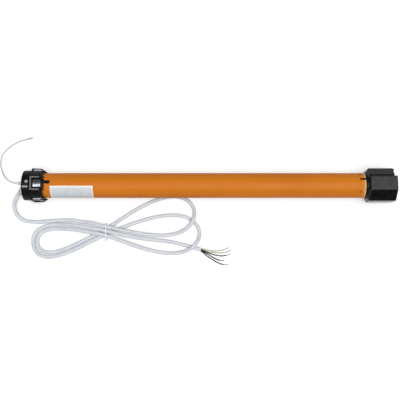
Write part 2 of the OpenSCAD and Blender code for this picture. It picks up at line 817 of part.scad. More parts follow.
module crown_ring() {
    pocket_w = block_w - 2 * block_wall;
    color("#1a1a1c") on_axis(x_crown) difference() {
        intersection() {
            union() {
                rotate_extrude() polygon([
                    [crown_bore_r, 0], [crown_base_r, 0], [crown_base_r, base_end - base_chamfer],
                    [ring_bore_r + ring_wall, base_end], [crown_bore_r, base_end]
                ]);
                around([0:90:270]) crown_block();
            }
            cylinder(r = corner_r, h = crown_len);
        }
        around([0:90:270]) {
            difference() {
                translate([0, -pocket_w / 2, block_rise + block_wall]) cube([shaft_af, pocket_w, crown_len]);
                cylinder(r = crown_base_r, h = base_end - base_chamfer);
                cylinder(r = ramp_end_r, h = crown_len + cut);
            }
            translate([0, block_w / 2, 0]) cheek_outline(2 * cheek_t);
            translate([0, -block_w / 2, 0]) cheek_outline(2 * cheek_t);
        }
        translate([0, 0, -cut]) cylinder(r = crown_bore_r, h = crown_len + 2 * cut);
        translate([0, 0, -cut]) ring_space(counter_teeth, counter_module, counter_w + cut);
        translate([0, 0, x_ring - face_gap - x_crown]) cylinder(r = ring_bore_r, h = crown_len);
    }
}

module crown_springs() {
    color("#c9ccd0") on_axis(x_crown + leaf_x0) around([-leaf_half:90:300])
        pipe_sector(leaf_x1 - leaf_x0, crown_base_r, crown_base_r + leaf_t, 2 * leaf_half);
}

module crown_cheeks() {
    color("#b4b4ba") on_axis(x_crown) around([0:90:270]) {
        translate([0, (block_w - cheek_t) / 2, 0]) cheek_outline(cheek_t);
        translate([0, (cheek_t - block_w) / 2, 0]) cheek_outline(cheek_t);
    }
}

module on_counter() {
    on_axis(x_flange) rotate([0, 0, counter_angle]) translate([pinion_orbit, 0, 0]) children();
}

module counter_pinion() {
    color("#e3e0d6") on_counter() difference() {
        translate([0, 0, pinion_gap]) gear(pinion_teeth, counter_module, counter_w - 2 * pinion_gap);
        cylinder(r = axle_r + bearing_fit, h = pocket_len);
    }
}

module counter_magnet() {
    color("#55575c") on_counter() translate([0, 0, counter_w - pinion_gap])
        sleeve(magnet_t, magnet_r, axle_r + bearing_fit);
}

// Electronics

module board_tray() {
    ledge_y = (board_w - ledge_w) / 2 + face_gap;
    color("#3a3b3e") intersection() {
        on_axis(x_tray) cylinder(r = inner_r, h = tray_len);
        union() {
            difference() {
                translate([x_tray, -inner_r, axis_z - inner_r])
                    cube([tray_len, 2 * inner_r, inner_r - tray_rim]);
                on_axis(x_tray - cut) cylinder(r = inner_r - tray_wall, h = tray_len + 2 * cut);
            }
            for (side = [-1, 1])
                translate([x_tray, side * ledge_y - ledge_w / 2, axis_z - board_drop - ledge_h])
                    cube([tray_len, ledge_w, ledge_h]);
        }
    }
}

module control_board() {
    color("#2f6b3c") translate([x_tray + board_inset, -board_w / 2, axis_z - board_drop])
        cube([board_len, board_w, board_t]);
}

module board_components() {
    top = axis_z - board_drop + board_t;
    relay_y = (relay_gap + relay_w) / 2;
    color("#22252b") for (side = [-1, 1]) translate([x_relay, side * relay_y - relay_w / 2, top])
        cube([relay_len, relay_w, relay_h]);
    color("#4a4335") translate([x_transformer, -transformer_w / 2, top])
        cube([transformer_len, transformer_w, transformer_h]);
    color("#1e2a44") for (i = [0:can_count - 1]) translate([x_can + can_pitch * i, 0, top])
        cylinder(r = can_r, h = can_h);
}

module run_capacitor() {
    color("#d8d8d6") on_axis(x_capacitor) rounded_disc(capacitor_d / 2, capacitor_len, capacitor_round);
}

module capacitor_clamps() {
    color("#4c4e52") for (x = [clamp_inset, capacitor_len - clamp_inset - clamp_w])
        on_axis(x_capacitor + x) sleeve(clamp_w, inner_r, capacitor_d / 2);
}

// Motor

module stator_core() {
    color("#7c7f84") on_axis(x_stack0) difference() {
        sleeve(stack_len, inner_r, rotor_r + air_gap);
        around(places(slot_count))
            translate([slot_orbit, 0, -cut]) cylinder(r = slot_r, h = stack_len + 2 * cut);
    }
}

module stator_windings() {
    color("#b5652b") on_axis(x_stack0 - winding_reach) {
        for (z = [0, winding_reach + stack_len]) translate([0, 0, z])
            sleeve(winding_reach, slot_orbit + slot_r + winding_wall, rotor_r + air_gap + winding_gap);
        around(places(slot_count))
            translate([slot_orbit, 0, cut]) cylinder(r = bar_r, h = stack_len + 2 * winding_reach - 2 * cut);
    }
}

module bell(x) {
    color("#a7aaae") on_axis(x) sleeve(bell_t, inner_r, bearing_d / 2);
}

module rear_bell() {
    bell(x_rear_bell);
}

module front_bell() {
    bell(x_front_bell);
}

module rotor_bearings() {
    inset = (bell_t - bearing_t) / 2;
    color("#cfd2d6") for (x = [x_rear_bell, x_front_bell])
        on_axis(x + inset) sleeve(bearing_t, bearing_d / 2, rotor_shaft_r + bearing_fit);
}

module rotor_core() {
    color("#9a9da2") on_axis(x_stack0) sleeve(stack_len, rotor_r, rotor_shaft_r);
}

module rotor_shaft() {
    stub = 4;
    sun_start = x_stage - cut;
    color("#c4c7cb") {
        on_axis(x_rear_bell - stub) cylinder(r = rotor_shaft_r, h = sun_start - x_rear_bell + stub + cut);
        on_axis(sun_start) gear(sun_teeth, gear_module, x_stage + planet_w - sun_start);
    }
}

// Brake

module brake_guides(r, length) {
    rotate([0, 0, guide_angle]) around(places(guide_count))
        translate([guide_orbit, 0, 0]) cylinder(r = r, h = length);
}

module brake_coil() {
    pin_len = armature_travel + face_gap + armature_t;
    color("#8a5a2e") on_axis(x_coil) {
        difference() {
            sleeve(coil_len, inner_r, spring_r - spring_wall + spring_fit);
            translate([0, 0, coil_len - spring_len]) cylinder(r = spring_r, h = spring_len + cut);
        }
        translate([0, 0, coil_len - cut]) brake_guides(guide_r, pin_len + cut);
    }
}

module brake_spring() {
    color("#b9bcc0") on_axis(x_coil + coil_len - spring_len)
        sleeve(spring_len, spring_r, spring_r - spring_wall);
}

module brake_armature() {
    color("#84878b") on_axis(x_armature) difference() {
        sleeve(armature_t, armature_r, spring_r + end_gap);
        translate([0, 0, -cut]) brake_guides(guide_r + slide_fit, armature_t + 2 * cut);
    }
}

module brake_disc() {
    color("#3c3836") on_axis(x_brake_disc) sleeve(brake_disc_t, brake_disc_d / 2, rotor_shaft_r);
}

// Gearbox

module gear_case() {
    color("#8e9196") on_axis(x_case) difference() {
        cylinder(r = inner_r, h = case_len);
        translate([0, 0, -cut]) cylinder(r = sun_r + sun_clear, h = case_len);
        translate([0, 0, case_plate]) ring_space(ring_teeth, gear_module, case_len);
    }
}

module planet_places() {
    around(places(planets)) translate([planet_orbit, 0, 0]) children();
}

module carrier(stage, plate_t) {
    on_axis(x_stage + (stage - 1) * stage_pitch) {
        translate([0, 0, planet_w + end_gap]) cylinder(r = carrier_r, h = plate_t);
        planet_places() translate([0, 0, pin_inset]) cylinder(r = pin_r, h = planet_w + end_gap + cut);
    }
}

module carrier_sun(stage) {
    on_axis(x_stage + stage * stage_pitch - stage_gap - cut)
        gear(sun_teeth, gear_module, stage_gap + cut + planet_w);
}

module first_carrier() {
    color("#9ea1a6") {
        carrier(1, carrier_t);
        carrier_sun(1);
    }
}

module second_carrier() {
    color("#9ea1a6") {
        carrier(2, carrier_t);
        carrier_sun(2);
    }
}

module planet(stage, place) {
    color("#d9d4c4") on_axis(x_stage + (stage - 1) * stage_pitch) rotate([0, 0, 360 * (place - 1) / planets])
        translate([planet_orbit, 0, 0]) difference() {
            gear(planet_teeth, gear_module, planet_w);
            translate([0, 0, -cut]) cylinder(r = pin_r + pin_fit, h = planet_w + 2 * cut);
        }
}

module gearbox_cap() {
    key_w = notch_w - 2 * slide_fit;
    key_len = notch_len - face_gap - slide_fit;
    color("#3d3e42") on_axis(x_cap0) difference() {
        union() {
            cylinder(r = inner_r, h = cap_len);
            around(notch_angles) translate([inner_r - cut, -key_w / 2, cap_len - key_len])
                cube([tube_wall / 2 + cut, key_w, key_len]);
        }
        translate([0, 0, -cut]) cylinder(r = bush_r, h = cap_len + 2 * cut);
        around(rivet_angles) translate([0, 0, x_tube1 - rivet_inset - x_cap0])
            radial_pin(rivet_d / 2, inner_r - rivet_grip, inner_r + cut);
    }
}

module output_bushes() {
    color("#b08d4a") for (x = [x_cap0, x_cap1 - bush_len])
        on_axis(x) sleeve(bush_len, bush_r, journal_r + bearing_fit);
}

module output_shaft() {
    plate_x = x_stage + 2 * stage_pitch + planet_w + end_gap;
    square_x = x_adapter + journal_reach;
    color("#b4b7bb") difference() {
        union() {
            carrier(3, output_plate_t);
            on_axis(plate_x) cylinder(r = thrust_r, h = x_cap0 - face_gap - plate_x);
            on_axis(plate_x) cylinder(r = journal_r, h = square_x - plate_x);
            on_axis(square_x - cut) translate([-square_w / 2, -square_w / 2, 0])
                cube([square_w, square_w, x_hub_end - square_x + cut]);
        }
        on_axis(x_hub_end - screw_depth) cylinder(r = screw_r, h = screw_depth + cut);
    }
}

// Drive adapter

module octagon(af, length) {
    rotate([0, 0, 22.5]) cylinder(r = af / 2 / cos(22.5), h = length, $fn = 8);
}

module drive_adapter() {
    flat = shaft_af / 2;
    facets = [0:45:315];
    hole_w = square_w + 2 * square_fit;
    color("#26272a") on_axis(x_adapter) difference() {
        intersection() {
            octagon(shaft_af, adapter_len);
            cylinder(r = corner_r, h = adapter_len);
        }
        translate([0, 0, -cut]) sleeve(nose_collar_len + cut, shaft_af, nose_collar_r);
        rotate_extrude() polygon([
            [nose_collar_r - nose_collar_bevel - cut, -cut], [nose_collar_r + cut, -cut],
            [nose_collar_r + cut, nose_collar_bevel + cut]
        ]);
        around(facets) {
            radial_plate([[nose_af / 2 - nose_over, nose_collar_len - nose_over / nose_slope],
                [flat + cut, nose_len + cut / nose_slope],
                [flat + cut, nose_collar_len - nose_over / nose_slope]], shaft_af);
            radial_plate([[flat - end_chamfer, adapter_len], [flat, adapter_len - end_chamfer],
                [flat + cut, adapter_len - end_chamfer], [flat + cut, adapter_len + cut],
                [flat - end_chamfer, adapter_len + cut]], shaft_af);
        }
        rotate([0, 0, seam_groove_angle]) translate([corner_r - seam_groove_h, -seam_groove_w / 2, -cut])
            cube([shaft_af, seam_groove_w, adapter_len + 2 * cut]);
        translate([0, 0, adapter_len - rim_notch_len]) rotate([0, 0, seam_groove_angle - rim_notch_angle])
            pipe_sector(rim_notch_len + cut, hub_d / 2, shaft_af, rim_notch_angle);
        difference() {
            translate([0, 0, web_t]) octagon(shaft_af - 2 * adapter_wall, adapter_len);
            cylinder(r = hub_d / 2, h = hub_len);
            around(facets) translate([hub_d / 2 - cut, -rib_t / 2, 0]) cube([shaft_af, rib_t, hub_len]);
            rotate([0, 0, seam_groove_angle])
                translate([corner_r - seam_groove_h - adapter_wall, -seam_groove_w / 2 - adapter_wall, 0])
                    cube([shaft_af, seam_groove_w + 2 * adapter_wall, adapter_len]);
        }
        translate([0, 0, -cut]) cylinder(r = journal_r + face_gap, h = journal_recess + cut);
        translate([-hole_w / 2, -hole_w / 2, -cut]) cube([hole_w, hole_w, hub_len + 2 * cut]);
    }
}

module adapter_washer() {
    color("#b9bcc0") on_axis(x_hub_end) sleeve(washer_t, washer_r, screw_r);
}

module adapter_screw() {
    grip = screw_depth - screw_tip_gap;
    color("#a3a6ab") on_axis(x_hub_end) difference() {
        union() {
            translate([0, 0, -grip]) cylinder(r = screw_r, h = grip + washer_t + cut);
            translate([0, 0, washer_t]) cylinder(r = screw_head_r, h = screw_head_h);
        }
        translate([0, 0, washer_t + screw_head_h - hex_key_depth])
            cylinder(r = hex_key_r, h = hex_key_depth + cut, $fn = 6);
    }
}

// Cable, cores and aerial

module cable_part(first, last) {
    points = part_of(cable_points, first, last);
    dirs = part_of(cable_dirs, first, last);
    color("#eceef2") cord(points, dirs, cable_r, cord_sides);
}

module cable_lead() {
    cable_part(0, hank_first);
}

module cable_hank() {
    cable_part(hank_first, hank_last);
}

module cable_tail() {
    cable_part(hank_last, cable_last);
}

// Band round the five strands at the waist, with its head on the viewer's side
module tie_section(grow) {
    lean = tie_w / 2 + tie_clear;
    strand_r = cable_r + grow;
    hull() {
        for (side = [-1, 1]) {
            translate([side * (low_step / 2 + lean), low_z]) circle(strand_r, $fn = 32);
            translate([side * (high_step + lean), high_z]) circle(strand_r, $fn = 32);
        }
    }
}

module cable_tie() {
    head_y = high_step + tie_w / 2 + tie_clear + cable_r + tie_slack;
    color("#f4f5f6") translate([tie_x, tie_y, 0]) {
        rotate([90, 0, 90]) linear_extrude(tie_w, center = true) difference() {
            tie_section(tie_slack + tie_t);
            tie_section(tie_slack);
        }
        translate([-tie_head / 2, -head_y - tie_head, high_z - tie_head]) cube(tie_head);
    }
}

// One core: it leaves the jacket square to its end, and its last stretch is bare
function core_points(i) = concat(
    [let (side = unit(cross([0, 0, 1], tail_dir)))
        tail_end + core_orbit * (cos(core_angles[i]) * side + sin(core_angles[i]) * [0, 0, 1])],
    from_tie(core_routes[i])
);
function core_dirs(points) = concat([tail_dir], part_of(directions(points), 1, len(points) - 1));

module core(i) {
    points = core_points(i);
    dirs = core_dirs(points);
    last = len(points) - 2;
    cord(part_of(points, 0, last), part_of(dirs, 0, last), core_d / 2, cord_sides);
}

module core_earth() {
    color("#b1b6a0") core(0);
}

module core_white() {
    color("#c9c9c0") core(1);
}

module core_brown() {
    color("#4a3a34") core(2);
}

module core_black() {
    color("#333338") core(3);
}

module core_blue() {
    color("#3b3f52") core(4);
}

module core_ends() {
    color("#a9a5a0") for (i = [0:len(core_routes) - 1]) {
        points = core_points(i);
        dirs = core_dirs(points);
        last = len(points) - 1;
        cord(part_of(points, last - 1, last), part_of(dirs, last - 1, last), bare_d / 2, cord_sides);
    }
}

aerial_points = concat([[x_face - aerial_boss_len, aerial_y, aerial_z]], from_face(aerial_route));
aerial_dirs = concat([[-1, 0, 0]], part_of(directions(aerial_points), 1, len(aerial_points) - 1));
aerial_last = len(aerial_points) - 1;

module aerial_wire() {
    color("#d5d5d5") cord(aerial_points, aerial_dirs, aerial_d / 2, cord_sides);
}

module aerial_tip() {
    start = aerial_points[aerial_last];
    dir = aerial_dirs[aerial_last];
    lift = [0, 0, (aerial_tip_d - aerial_d) / 2];
    tip = start + lift + aerial_tip_len * dir;
    color("#dcdcdc") cord([start + lift, tip], [dir, dir], aerial_tip_d / 2, cord_sides);
}

motor_tube();
rating_label();
motor_head();
crown_retaining_ring();
counter_axle();
button_switch();
cable_gland();
board_tray();
control_board();
board_components();
run_capacitor();
capacitor_clamps();
stator_core();
stator_windings();
rear_bell();
front_bell();
rotor_bearings();
brake_coil();
brake_spring();
gear_case();
gearbox_cap();
output_bushes();
tube_rivets();
cable_lead();
cable_hank();
cable_tail();
cable_tie();
core_earth();
core_white();
core_brown();
core_black();
core_blue();
core_ends();
aerial_wire();
aerial_tip();
crown_ring();
crown_springs();
crown_cheeks();
counter_pinion();
counter_magnet();
setting_button();
brake_armature();
rotor_core();
rotor_shaft();
brake_disc();
first_carrier();
second_carrier();
planet(1, 1);  // first_planet_1
planet(1, 2);  // first_planet_2
planet(1, 3);  // first_planet_3
planet(2, 1);  // second_planet_1
planet(2, 2);  // second_planet_2
planet(2, 3);  // second_planet_3
planet(3, 1);  // third_planet_1
planet(3, 2);  // third_planet_2
planet(3, 3);  // third_planet_3
output_shaft();
drive_adapter();
adapter_washer();
adapter_screw();
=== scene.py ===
"""Looks of a tubular roller motor: its cable, cores, aerial and tie, and the material of every piece."""

import json
import math

import bmesh
import bpy
import numpy as np
from mathutils import Matrix, Vector


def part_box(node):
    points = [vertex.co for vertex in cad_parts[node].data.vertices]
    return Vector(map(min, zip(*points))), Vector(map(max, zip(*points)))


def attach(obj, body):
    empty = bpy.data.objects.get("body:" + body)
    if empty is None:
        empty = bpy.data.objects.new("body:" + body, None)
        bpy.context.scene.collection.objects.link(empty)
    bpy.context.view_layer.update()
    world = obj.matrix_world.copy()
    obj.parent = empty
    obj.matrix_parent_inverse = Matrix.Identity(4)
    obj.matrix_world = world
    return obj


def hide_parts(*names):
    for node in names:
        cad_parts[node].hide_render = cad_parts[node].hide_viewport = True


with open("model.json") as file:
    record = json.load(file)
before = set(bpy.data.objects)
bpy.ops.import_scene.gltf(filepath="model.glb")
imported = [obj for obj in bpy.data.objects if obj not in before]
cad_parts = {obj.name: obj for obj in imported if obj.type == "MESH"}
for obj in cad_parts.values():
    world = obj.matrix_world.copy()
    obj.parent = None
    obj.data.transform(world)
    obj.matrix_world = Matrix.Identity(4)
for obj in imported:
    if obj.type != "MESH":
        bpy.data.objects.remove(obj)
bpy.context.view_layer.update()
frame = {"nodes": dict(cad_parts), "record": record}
scene = bpy.context.scene
MM = 0.001
# Height of the motor's axis and place of its head face, in millimetres
AXIS_Z = 29.5
X_FACE = -333.2


# Camera

BACK = Vector((0, -0.1392, 0.9903)).normalized()
UP = Vector((0, 0.9903, 0.1392)).normalized()
TARGET = Vector((-0.0164, -0.0259, 0.0259))
DISTANCE = 1.2
SENSOR, FOCAL = 36, 59.8
NEAR, FAR = 0.05, 60
lens = bpy.data.cameras.new("camera")
lens.sensor_width = SENSOR
lens.lens = FOCAL
lens.clip_start = NEAR
lens.clip_end = FAR
camera = bpy.data.objects.new("camera", lens)
spot = TARGET + DISTANCE * BACK
right = UP.cross(BACK)
camera.matrix_world = Matrix((
    (right.x, UP.x, BACK.x, spot.x),
    (right.y, UP.y, BACK.y, spot.y),
    (right.z, UP.z, BACK.z, spot.z),
    (0, 0, 0, 1),
))
scene.collection.objects.link(camera)
scene.camera = camera


# Materials

# Numbers of the colour sockets of a mix node
MIX_FACTOR, MIX_A, MIX_B, MIX_RESULT = 0, 6, 7, 2
# Cosines of the angle between flat and rounded normal at which an edge counts fully, and no longer
EDGE_FULL, EDGE_NONE = 0.9, 0.995


def feed(tree, value, socket):
    """Links another socket to a socket, or sets the socket to a colour or a number."""
    if isinstance(value, bpy.types.NodeSocket):
        tree.links.new(value, socket)
    elif isinstance(value, tuple):
        socket.default_value = (*value, 1)
    else:
        socket.default_value = value


def calc(tree, operation, *values):
    """Result of a math node on sockets or numbers."""
    node = tree.nodes.new("ShaderNodeMath")
    node.operation = operation
    for value, socket in zip(values, node.inputs):
        feed(tree, value, socket)
    return node.outputs[0]


class Look:
    """One procedural material, built up from a Principled shader."""

    def __init__(self, name, **values):
        self.mat = bpy.data.materials.new(name)
        self.mat.use_nodes = True
        self.tree = self.mat.node_tree
        self.shader = self.tree.nodes["Principled BSDF"]
        self.place = self.add("ShaderNodeTexCoord").outputs["Object"]
        for key, value in values.items():
            self.shader.inputs[key.replace("_", " ").title().replace("Ior", "IOR")].default_value = value

    def add(self, kind, **settings):
        node = self.tree.nodes.new(kind)
        for key, value in settings.items():
            setattr(node, key, value)
        return node

    def join(self, out, socket):
        self.tree.links.new(out, socket)

    def stretched(self, scale):
        node = self.add("ShaderNodeMapping")
        node.inputs["Scale"].default_value = scale
        self.join(self.place, node.inputs["Vector"])
        return node.outputs["Vector"]

    def noise(self, size, detail=3.0, rough=0.55, stretch=None):
        """Noise with features of about that size in metres."""
        node = self.add("ShaderNodeTexNoise")
        self.join(self.stretched(stretch) if stretch else self.place, node.inputs["Vector"])
        node.inputs["Scale"].default_value = 1 / size
        node.inputs["Detail"].default_value = detail
        node.inputs["Roughness"].default_value = rough
        return node.outputs["Fac"]

    def ramp(self, fac, *stops):
        """Colours at given values of a socket."""
        node = self.add("ShaderNodeValToRGB")
        marks = node.color_ramp.elements
        while len(marks) < len(stops):
            marks.new(0.5)
        for mark, (where, colour) in zip(marks, stops):
            mark.position = where
            mark.color = (*colour, 1)
        self.join(fac, node.inputs["Fac"])
        return node.outputs["Color"]

    def mix(self, fac, a, b):
        """Colour a, going over to b as fac goes from 0 to 1."""
        node = self.add("ShaderNodeMix", data_type="RGBA")
        for value, number in ((fac, MIX_FACTOR), (a, MIX_A), (b, MIX_B)):
            feed(self.tree, value, node.inputs[number])
        return node.outputs[MIX_RESULT]

    def span(self, fac, low, high, start=0.3, end=0.7):
        """From low to high as a socket goes from start to end."""
        node = self.add("ShaderNodeMapRange")
        self.join(fac, node.inputs["Value"])
        node.inputs["From Min"].default_value = start
        node.inputs["From Max"].default_value = end
        node.inputs["To Min"].default_value = low
        node.inputs["To Max"].default_value = high
        return node.outputs["Result"]

    def axis(self, letter):
        """Place along X, Y or Z, in metres."""
        node = self.add("ShaderNodeSeparateXYZ")
        self.join(self.place, node.inputs[0])
        return node.outputs[letter]

    def edges(self, radius):
        """Rounded normals at sharp edges, and a mask of those edges."""
        bevel = self.add("ShaderNodeBevel", samples=4)
        bevel.inputs["Radius"].default_value = radius
        flat = self.add("ShaderNodeNewGeometry")
        dot = self.add("ShaderNodeVectorMath", operation="DOT_PRODUCT")
        self.join(bevel.outputs["Normal"], dot.inputs[0])
        self.join(flat.outputs["Normal"], dot.inputs[1])
        return bevel.outputs["Normal"], self.span(dot.outputs["Value"], 1, 0, EDGE_FULL, EDGE_NONE)

    def bump(self, height, strength, distance, normal=None):
        node = self.add("ShaderNodeBump")
        node.inputs["Strength"].default_value = strength
        node.inputs["Distance"].default_value = distance
        self.join(height, node.inputs["Height"])
        if normal is not None:
            self.join(normal, node.inputs["Normal"])
        return node.outputs["Normal"]

    def colour(self, out):
        self.join(out, self.shader.inputs["Base Color"])

    def rough(self, out):
        self.join(out, self.shader.inputs["Roughness"])

    def normal(self, out):
        self.join(out, self.shader.inputs["Normal"])


def tinted(base, factor):
    """A colour made lighter or darker."""
    return tuple(min(1.0, c * factor) for c in base)


# Plastic: radius of its edges, and size of the clouds in its colour and its gloss, in metres
MOULD_EDGE, MOULD_CLOUD, MOULD_GLOSS = 0.0005, 0.011, 0.004
# Metal: the same, for its edges and its polish
METAL_EDGE, METAL_POLISH = 0.0003, 0.006


def moulded(name, base, rough, grain=0.0005, depth=0.00004, mottle=0.25, edge_wear_and_sheen=1.8, level=0.5):
    """Moulded plastic: grain, uneven colour, and edges rounded and lighter, partly from wear and partly a
    painted highlight.
    """
    look = Look(name, specular_ior_level=level)
    rounded, mask = look.edges(MOULD_EDGE)
    cloud = look.noise(MOULD_CLOUD, 5)
    shade = look.ramp(cloud, (0.3, tinted(base, 1 - mottle)), (0.7, tinted(base, 1 + mottle)))
    # Lighter edges: partly wear, partly a painted highlight
    look.colour(look.mix(mask, shade, tinted(base, edge_wear_and_sheen)))
    look.rough(look.span(look.noise(MOULD_GLOSS, 4), rough - 0.06, rough + 0.06))
    look.normal(look.bump(look.noise(grain, 2), 0.5, depth, rounded))
    return look.mat


def metal(name, base, rough, grain=0.0004, stretch=(1, 1, 1), depth=0.000012, spread=0.15):
    """Bare metal: drawn or turned marks, and slightly uneven polish."""
    look = Look(name, metallic=1.0)
    rounded, mask = look.edges(METAL_EDGE)
    lines = look.noise(grain, 3, 0.6, stretch)
    shade = look.ramp(lines, (0.3, tinted(base, 1 - spread)), (0.7, tinted(base, 1 + spread)))
    look.colour(look.mix(mask, shade, tinted(base, 1.3)))
    look.rough(look.span(look.noise(METAL_POLISH, 4), rough - 0.07, rough + 0.07))
    look.normal(look.bump(lines, 0.4, depth, rounded))
    return look.mat


ORANGE_DEEP, ORANGE_LIGHT = (0.6, 0.175, 0.011), (0.67, 0.206, 0.016)
ORANGE_STREAK, ORANGE_FLECK = (0.54, 0.15, 0.013), (0.68, 0.22, 0.03)
# The lightest orange here is a painted highlight on the output rim, the darkest a painted shadow next to the
# crown
ORANGE_RUBBED, ORANGE_RIM_SHEEN, ORANGE_SHADOW = (0.76, 0.33, 0.1), (0.86, 0.5, 0.22), (0.3, 0.1, 0.02)
# Distances from the tube's ends in metres: paint wear and a painted highlight along the rim at the output,
# painted shadow next to the crown at the head
RUBBED_START, RUBBED_FULL = 0.0083, 0.0023
RIM_SHEEN_START, RIM_SHEEN_FULL = 0.0022, 0.0016
SHADOW_FULL, SHADOW_END = 0.0004, 0.0047


def painted_tube():
    """Orange stove paint on a drawn tube: fine orange peel, faint drawing streaks, paint wear and a painted
    highlight on the rim at the output end, painted shadow at the head end.
    """
    look = Look("tube_paint", specular_ior_level=0.1)
    cloud = look.noise(0.05, 4, 0.5, (0.45, 1, 1))
    streak = look.noise(0.0035, 3, 0.6, (0.02, 1, 1))
    fleck = look.noise(0.0011, 2)
    shade = look.ramp(cloud, (0.3, ORANGE_DEEP), (0.7, ORANGE_LIGHT))
    shade = look.mix(look.span(streak, 0, 0.4), shade, ORANGE_STREAK)
    shade = look.mix(look.span(fleck, 0, 0.35, 0.55, 0.75), shade, ORANGE_FLECK)
    along = look.axis("X")
    head_end, output_end = (corner[0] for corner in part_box("motor_tube"))
    patch = look.span(look.noise(0.004, 4), 0, 0.75, 0.42, 0.62)
    near_end = look.span(along, 0, 1, output_end - RUBBED_START, output_end - RUBBED_FULL)
    shade = look.mix(calc(look.tree, "MULTIPLY", near_end, patch), shade, ORANGE_RUBBED)
    # Painted highlight: the rim at the output end is lightened to a pale orange
    edge = look.span(along, 0, 0.9, output_end - RIM_SHEEN_START, output_end - RIM_SHEEN_FULL)
    shade = look.mix(edge, shade, ORANGE_RIM_SHEEN)
    # Painted shadow: the paint darkens towards the head end, where the crown sits next to the tube
    painted_shadow = look.span(along, 0.35, 0, head_end + SHADOW_FULL, head_end + SHADOW_END)
    look.colour(look.mix(painted_shadow, shade, ORANGE_SHADOW))
    look.rough(look.span(look.noise(0.02, 5), 0.36, 0.5))
    look.normal(look.bump(look.noise(0.0009, 2), 0.25, 0.00005))
    return look.mat


CREAM_DEEP, CREAM_LIGHT = (0.8, 0.78, 0.72), (0.86, 0.84, 0.78)
FIELD_DEEP, FIELD_LIGHT, FIELD_FIBRE = (0.58, 0.62, 0.66), (0.68, 0.71, 0.74), (0.62, 0.63, 0.63)
# Distances from the label's edges, in metres, between which the margin goes over to the field
MARGIN_END, FIELD_START = 0.0022, 0.0028
TOP_MARGIN_END, TOP_FIELD_START = 0.0026, 0.0036


def label_film():
    """Blank printed film: a pale blue-grey field with an unprinted cream margin, faintly fibrous."""
    look = Look("label_film", specular_ior_level=0.45)
    low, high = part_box("rating_label")
    cream = look.ramp(look.noise(0.012, 4), (0.3, CREAM_DEEP), (0.7, CREAM_LIGHT))
    tint = look.ramp(look.noise(0.009, 4), (0.3, FIELD_DEEP), (0.7, FIELD_LIGHT))
    inside = look.span(look.axis("X"), 0, 1, low[0] + MARGIN_END, low[0] + FIELD_START)
    for mask in (
        look.span(look.axis("X"), 1, 0, high[0] - FIELD_START, high[0] - MARGIN_END),
        look.span(look.axis("Y"), 1, 0, high[1] - TOP_FIELD_START, high[1] - TOP_MARGIN_END),
        look.span(look.axis("Z"), 0, 1, low[2] + MARGIN_END, low[2] + FIELD_START),
    ):
        inside = calc(look.tree, "MULTIPLY", inside, mask)
    shade = look.mix(inside, cream, tint)
    look.colour(look.mix(look.span(look.noise(0.0008, 2), 0, 0.25), shade, FIELD_FIBRE))
    look.rough(look.span(look.noise(0.006, 3), 0.32, 0.46))
    look.normal(look.bump(look.noise(0.003, 3), 0.2, 0.00005))
    return look.mat


def jacket(name, base, rough=0.42, size=0.006, level=0.4):
    """Extruded cord jacket: smooth, with faint drawing lines and handling marks."""
    look = Look(name, specular_ior_level=level)
    cloud = look.noise(size * 3, 4)
    shade = look.ramp(cloud, (0.3, tinted(base, 0.93)), (0.7, tinted(base, 1.04)))
    shade = look.mix(look.span(look.noise(size * 0.3, 2), 0, 0.25, 0.5, 0.8), shade, tinted(base, 0.86))
    look.colour(shade)
    look.rough(look.span(look.noise(size, 3), rough - 0.06, rough + 0.08))
    look.normal(look.bump(look.noise(size * 0.15, 2), 0.2, 0.00003))
    return look.mat


EARTH_YELLOW, EARTH_GREEN, EARTH_FADED = (0.52, 0.54, 0.33), (0.38, 0.44, 0.28), (0.6, 0.6, 0.5)
EARTH_STRIPES, EARTH_WAVINESS = 160, 0.6


def striped_core():
    """Pale green and yellow insulation of the earth core."""
    look = Look("core_stripes", specular_ior_level=0.4)
    wave = look.add("ShaderNodeTexWave", wave_type="BANDS", bands_direction="Y")
    look.join(look.place, wave.inputs["Vector"])
    wave.inputs["Scale"].default_value = EARTH_STRIPES
    wave.inputs["Distortion"].default_value = EARTH_WAVINESS
    shade = look.ramp(wave.outputs["Fac"], (0.45, EARTH_YELLOW), (0.55, EARTH_GREEN))
    look.colour(look.mix(look.span(look.noise(0.004, 3), 0, 0.3), shade, EARTH_FADED))
    look.rough(look.span(look.noise(0.003, 3), 0.35, 0.5))
    return look.mat


SKIN_DARK, SKIN_MIDDLE, SKIN_PALE = (0.0007, 0.0007, 0.0007), (0.003, 0.003, 0.003), (0.014, 0.014, 0.0134)
SKIN_GRAIN, SKIN_EDGE = (0.02, 0.02, 0.019), (0.014, 0.014, 0.0145)
SKIN_EDGE_R = 0.0009


def adapter_plastic():
    """Glass-filled black plastic: mottled skin with flow marks and fine grain."""
    look = Look("adapter_plastic", specular_ior_level=0.17)
    rounded, mask = look.edges(SKIN_EDGE_R)
    cloud = look.noise(0.006, 6, 0.65, (0.6, 1, 1))
    shade = look.ramp(cloud, (0.3, SKIN_DARK), (0.55, SKIN_MIDDLE), (0.75, SKIN_PALE))
    shade = look.mix(look.span(look.noise(0.0011, 3), 0, 0.5, 0.5, 0.75), shade, SKIN_GRAIN)
    # Edges slightly lighter: partly wear, partly a painted highlight
    look.colour(look.mix(mask, shade, SKIN_EDGE))
    look.rough(look.span(look.noise(0.007, 5), 0.13, 0.25))
    look.normal(look.bump(look.noise(0.0008, 3), 0.4, 0.00004, rounded))
    return look.mat


BLACK = (0.0026, 0.0026, 0.0029)
# Lighter greys for the edges and the driving faces of the crown: painted highlights
CROWN_EDGE, CROWN_FACE_SHEEN = (0.03, 0.03, 0.031), (0.21, 0.205, 0.21)
CROWN_EDGE_R = 0.0006
# Distance of a driving face from the axis, in metres: where its painted highlight starts, and where it is
# full
FACE_SHEEN_START, FACE_SHEEN_FULL = 0.0284, 0.02865


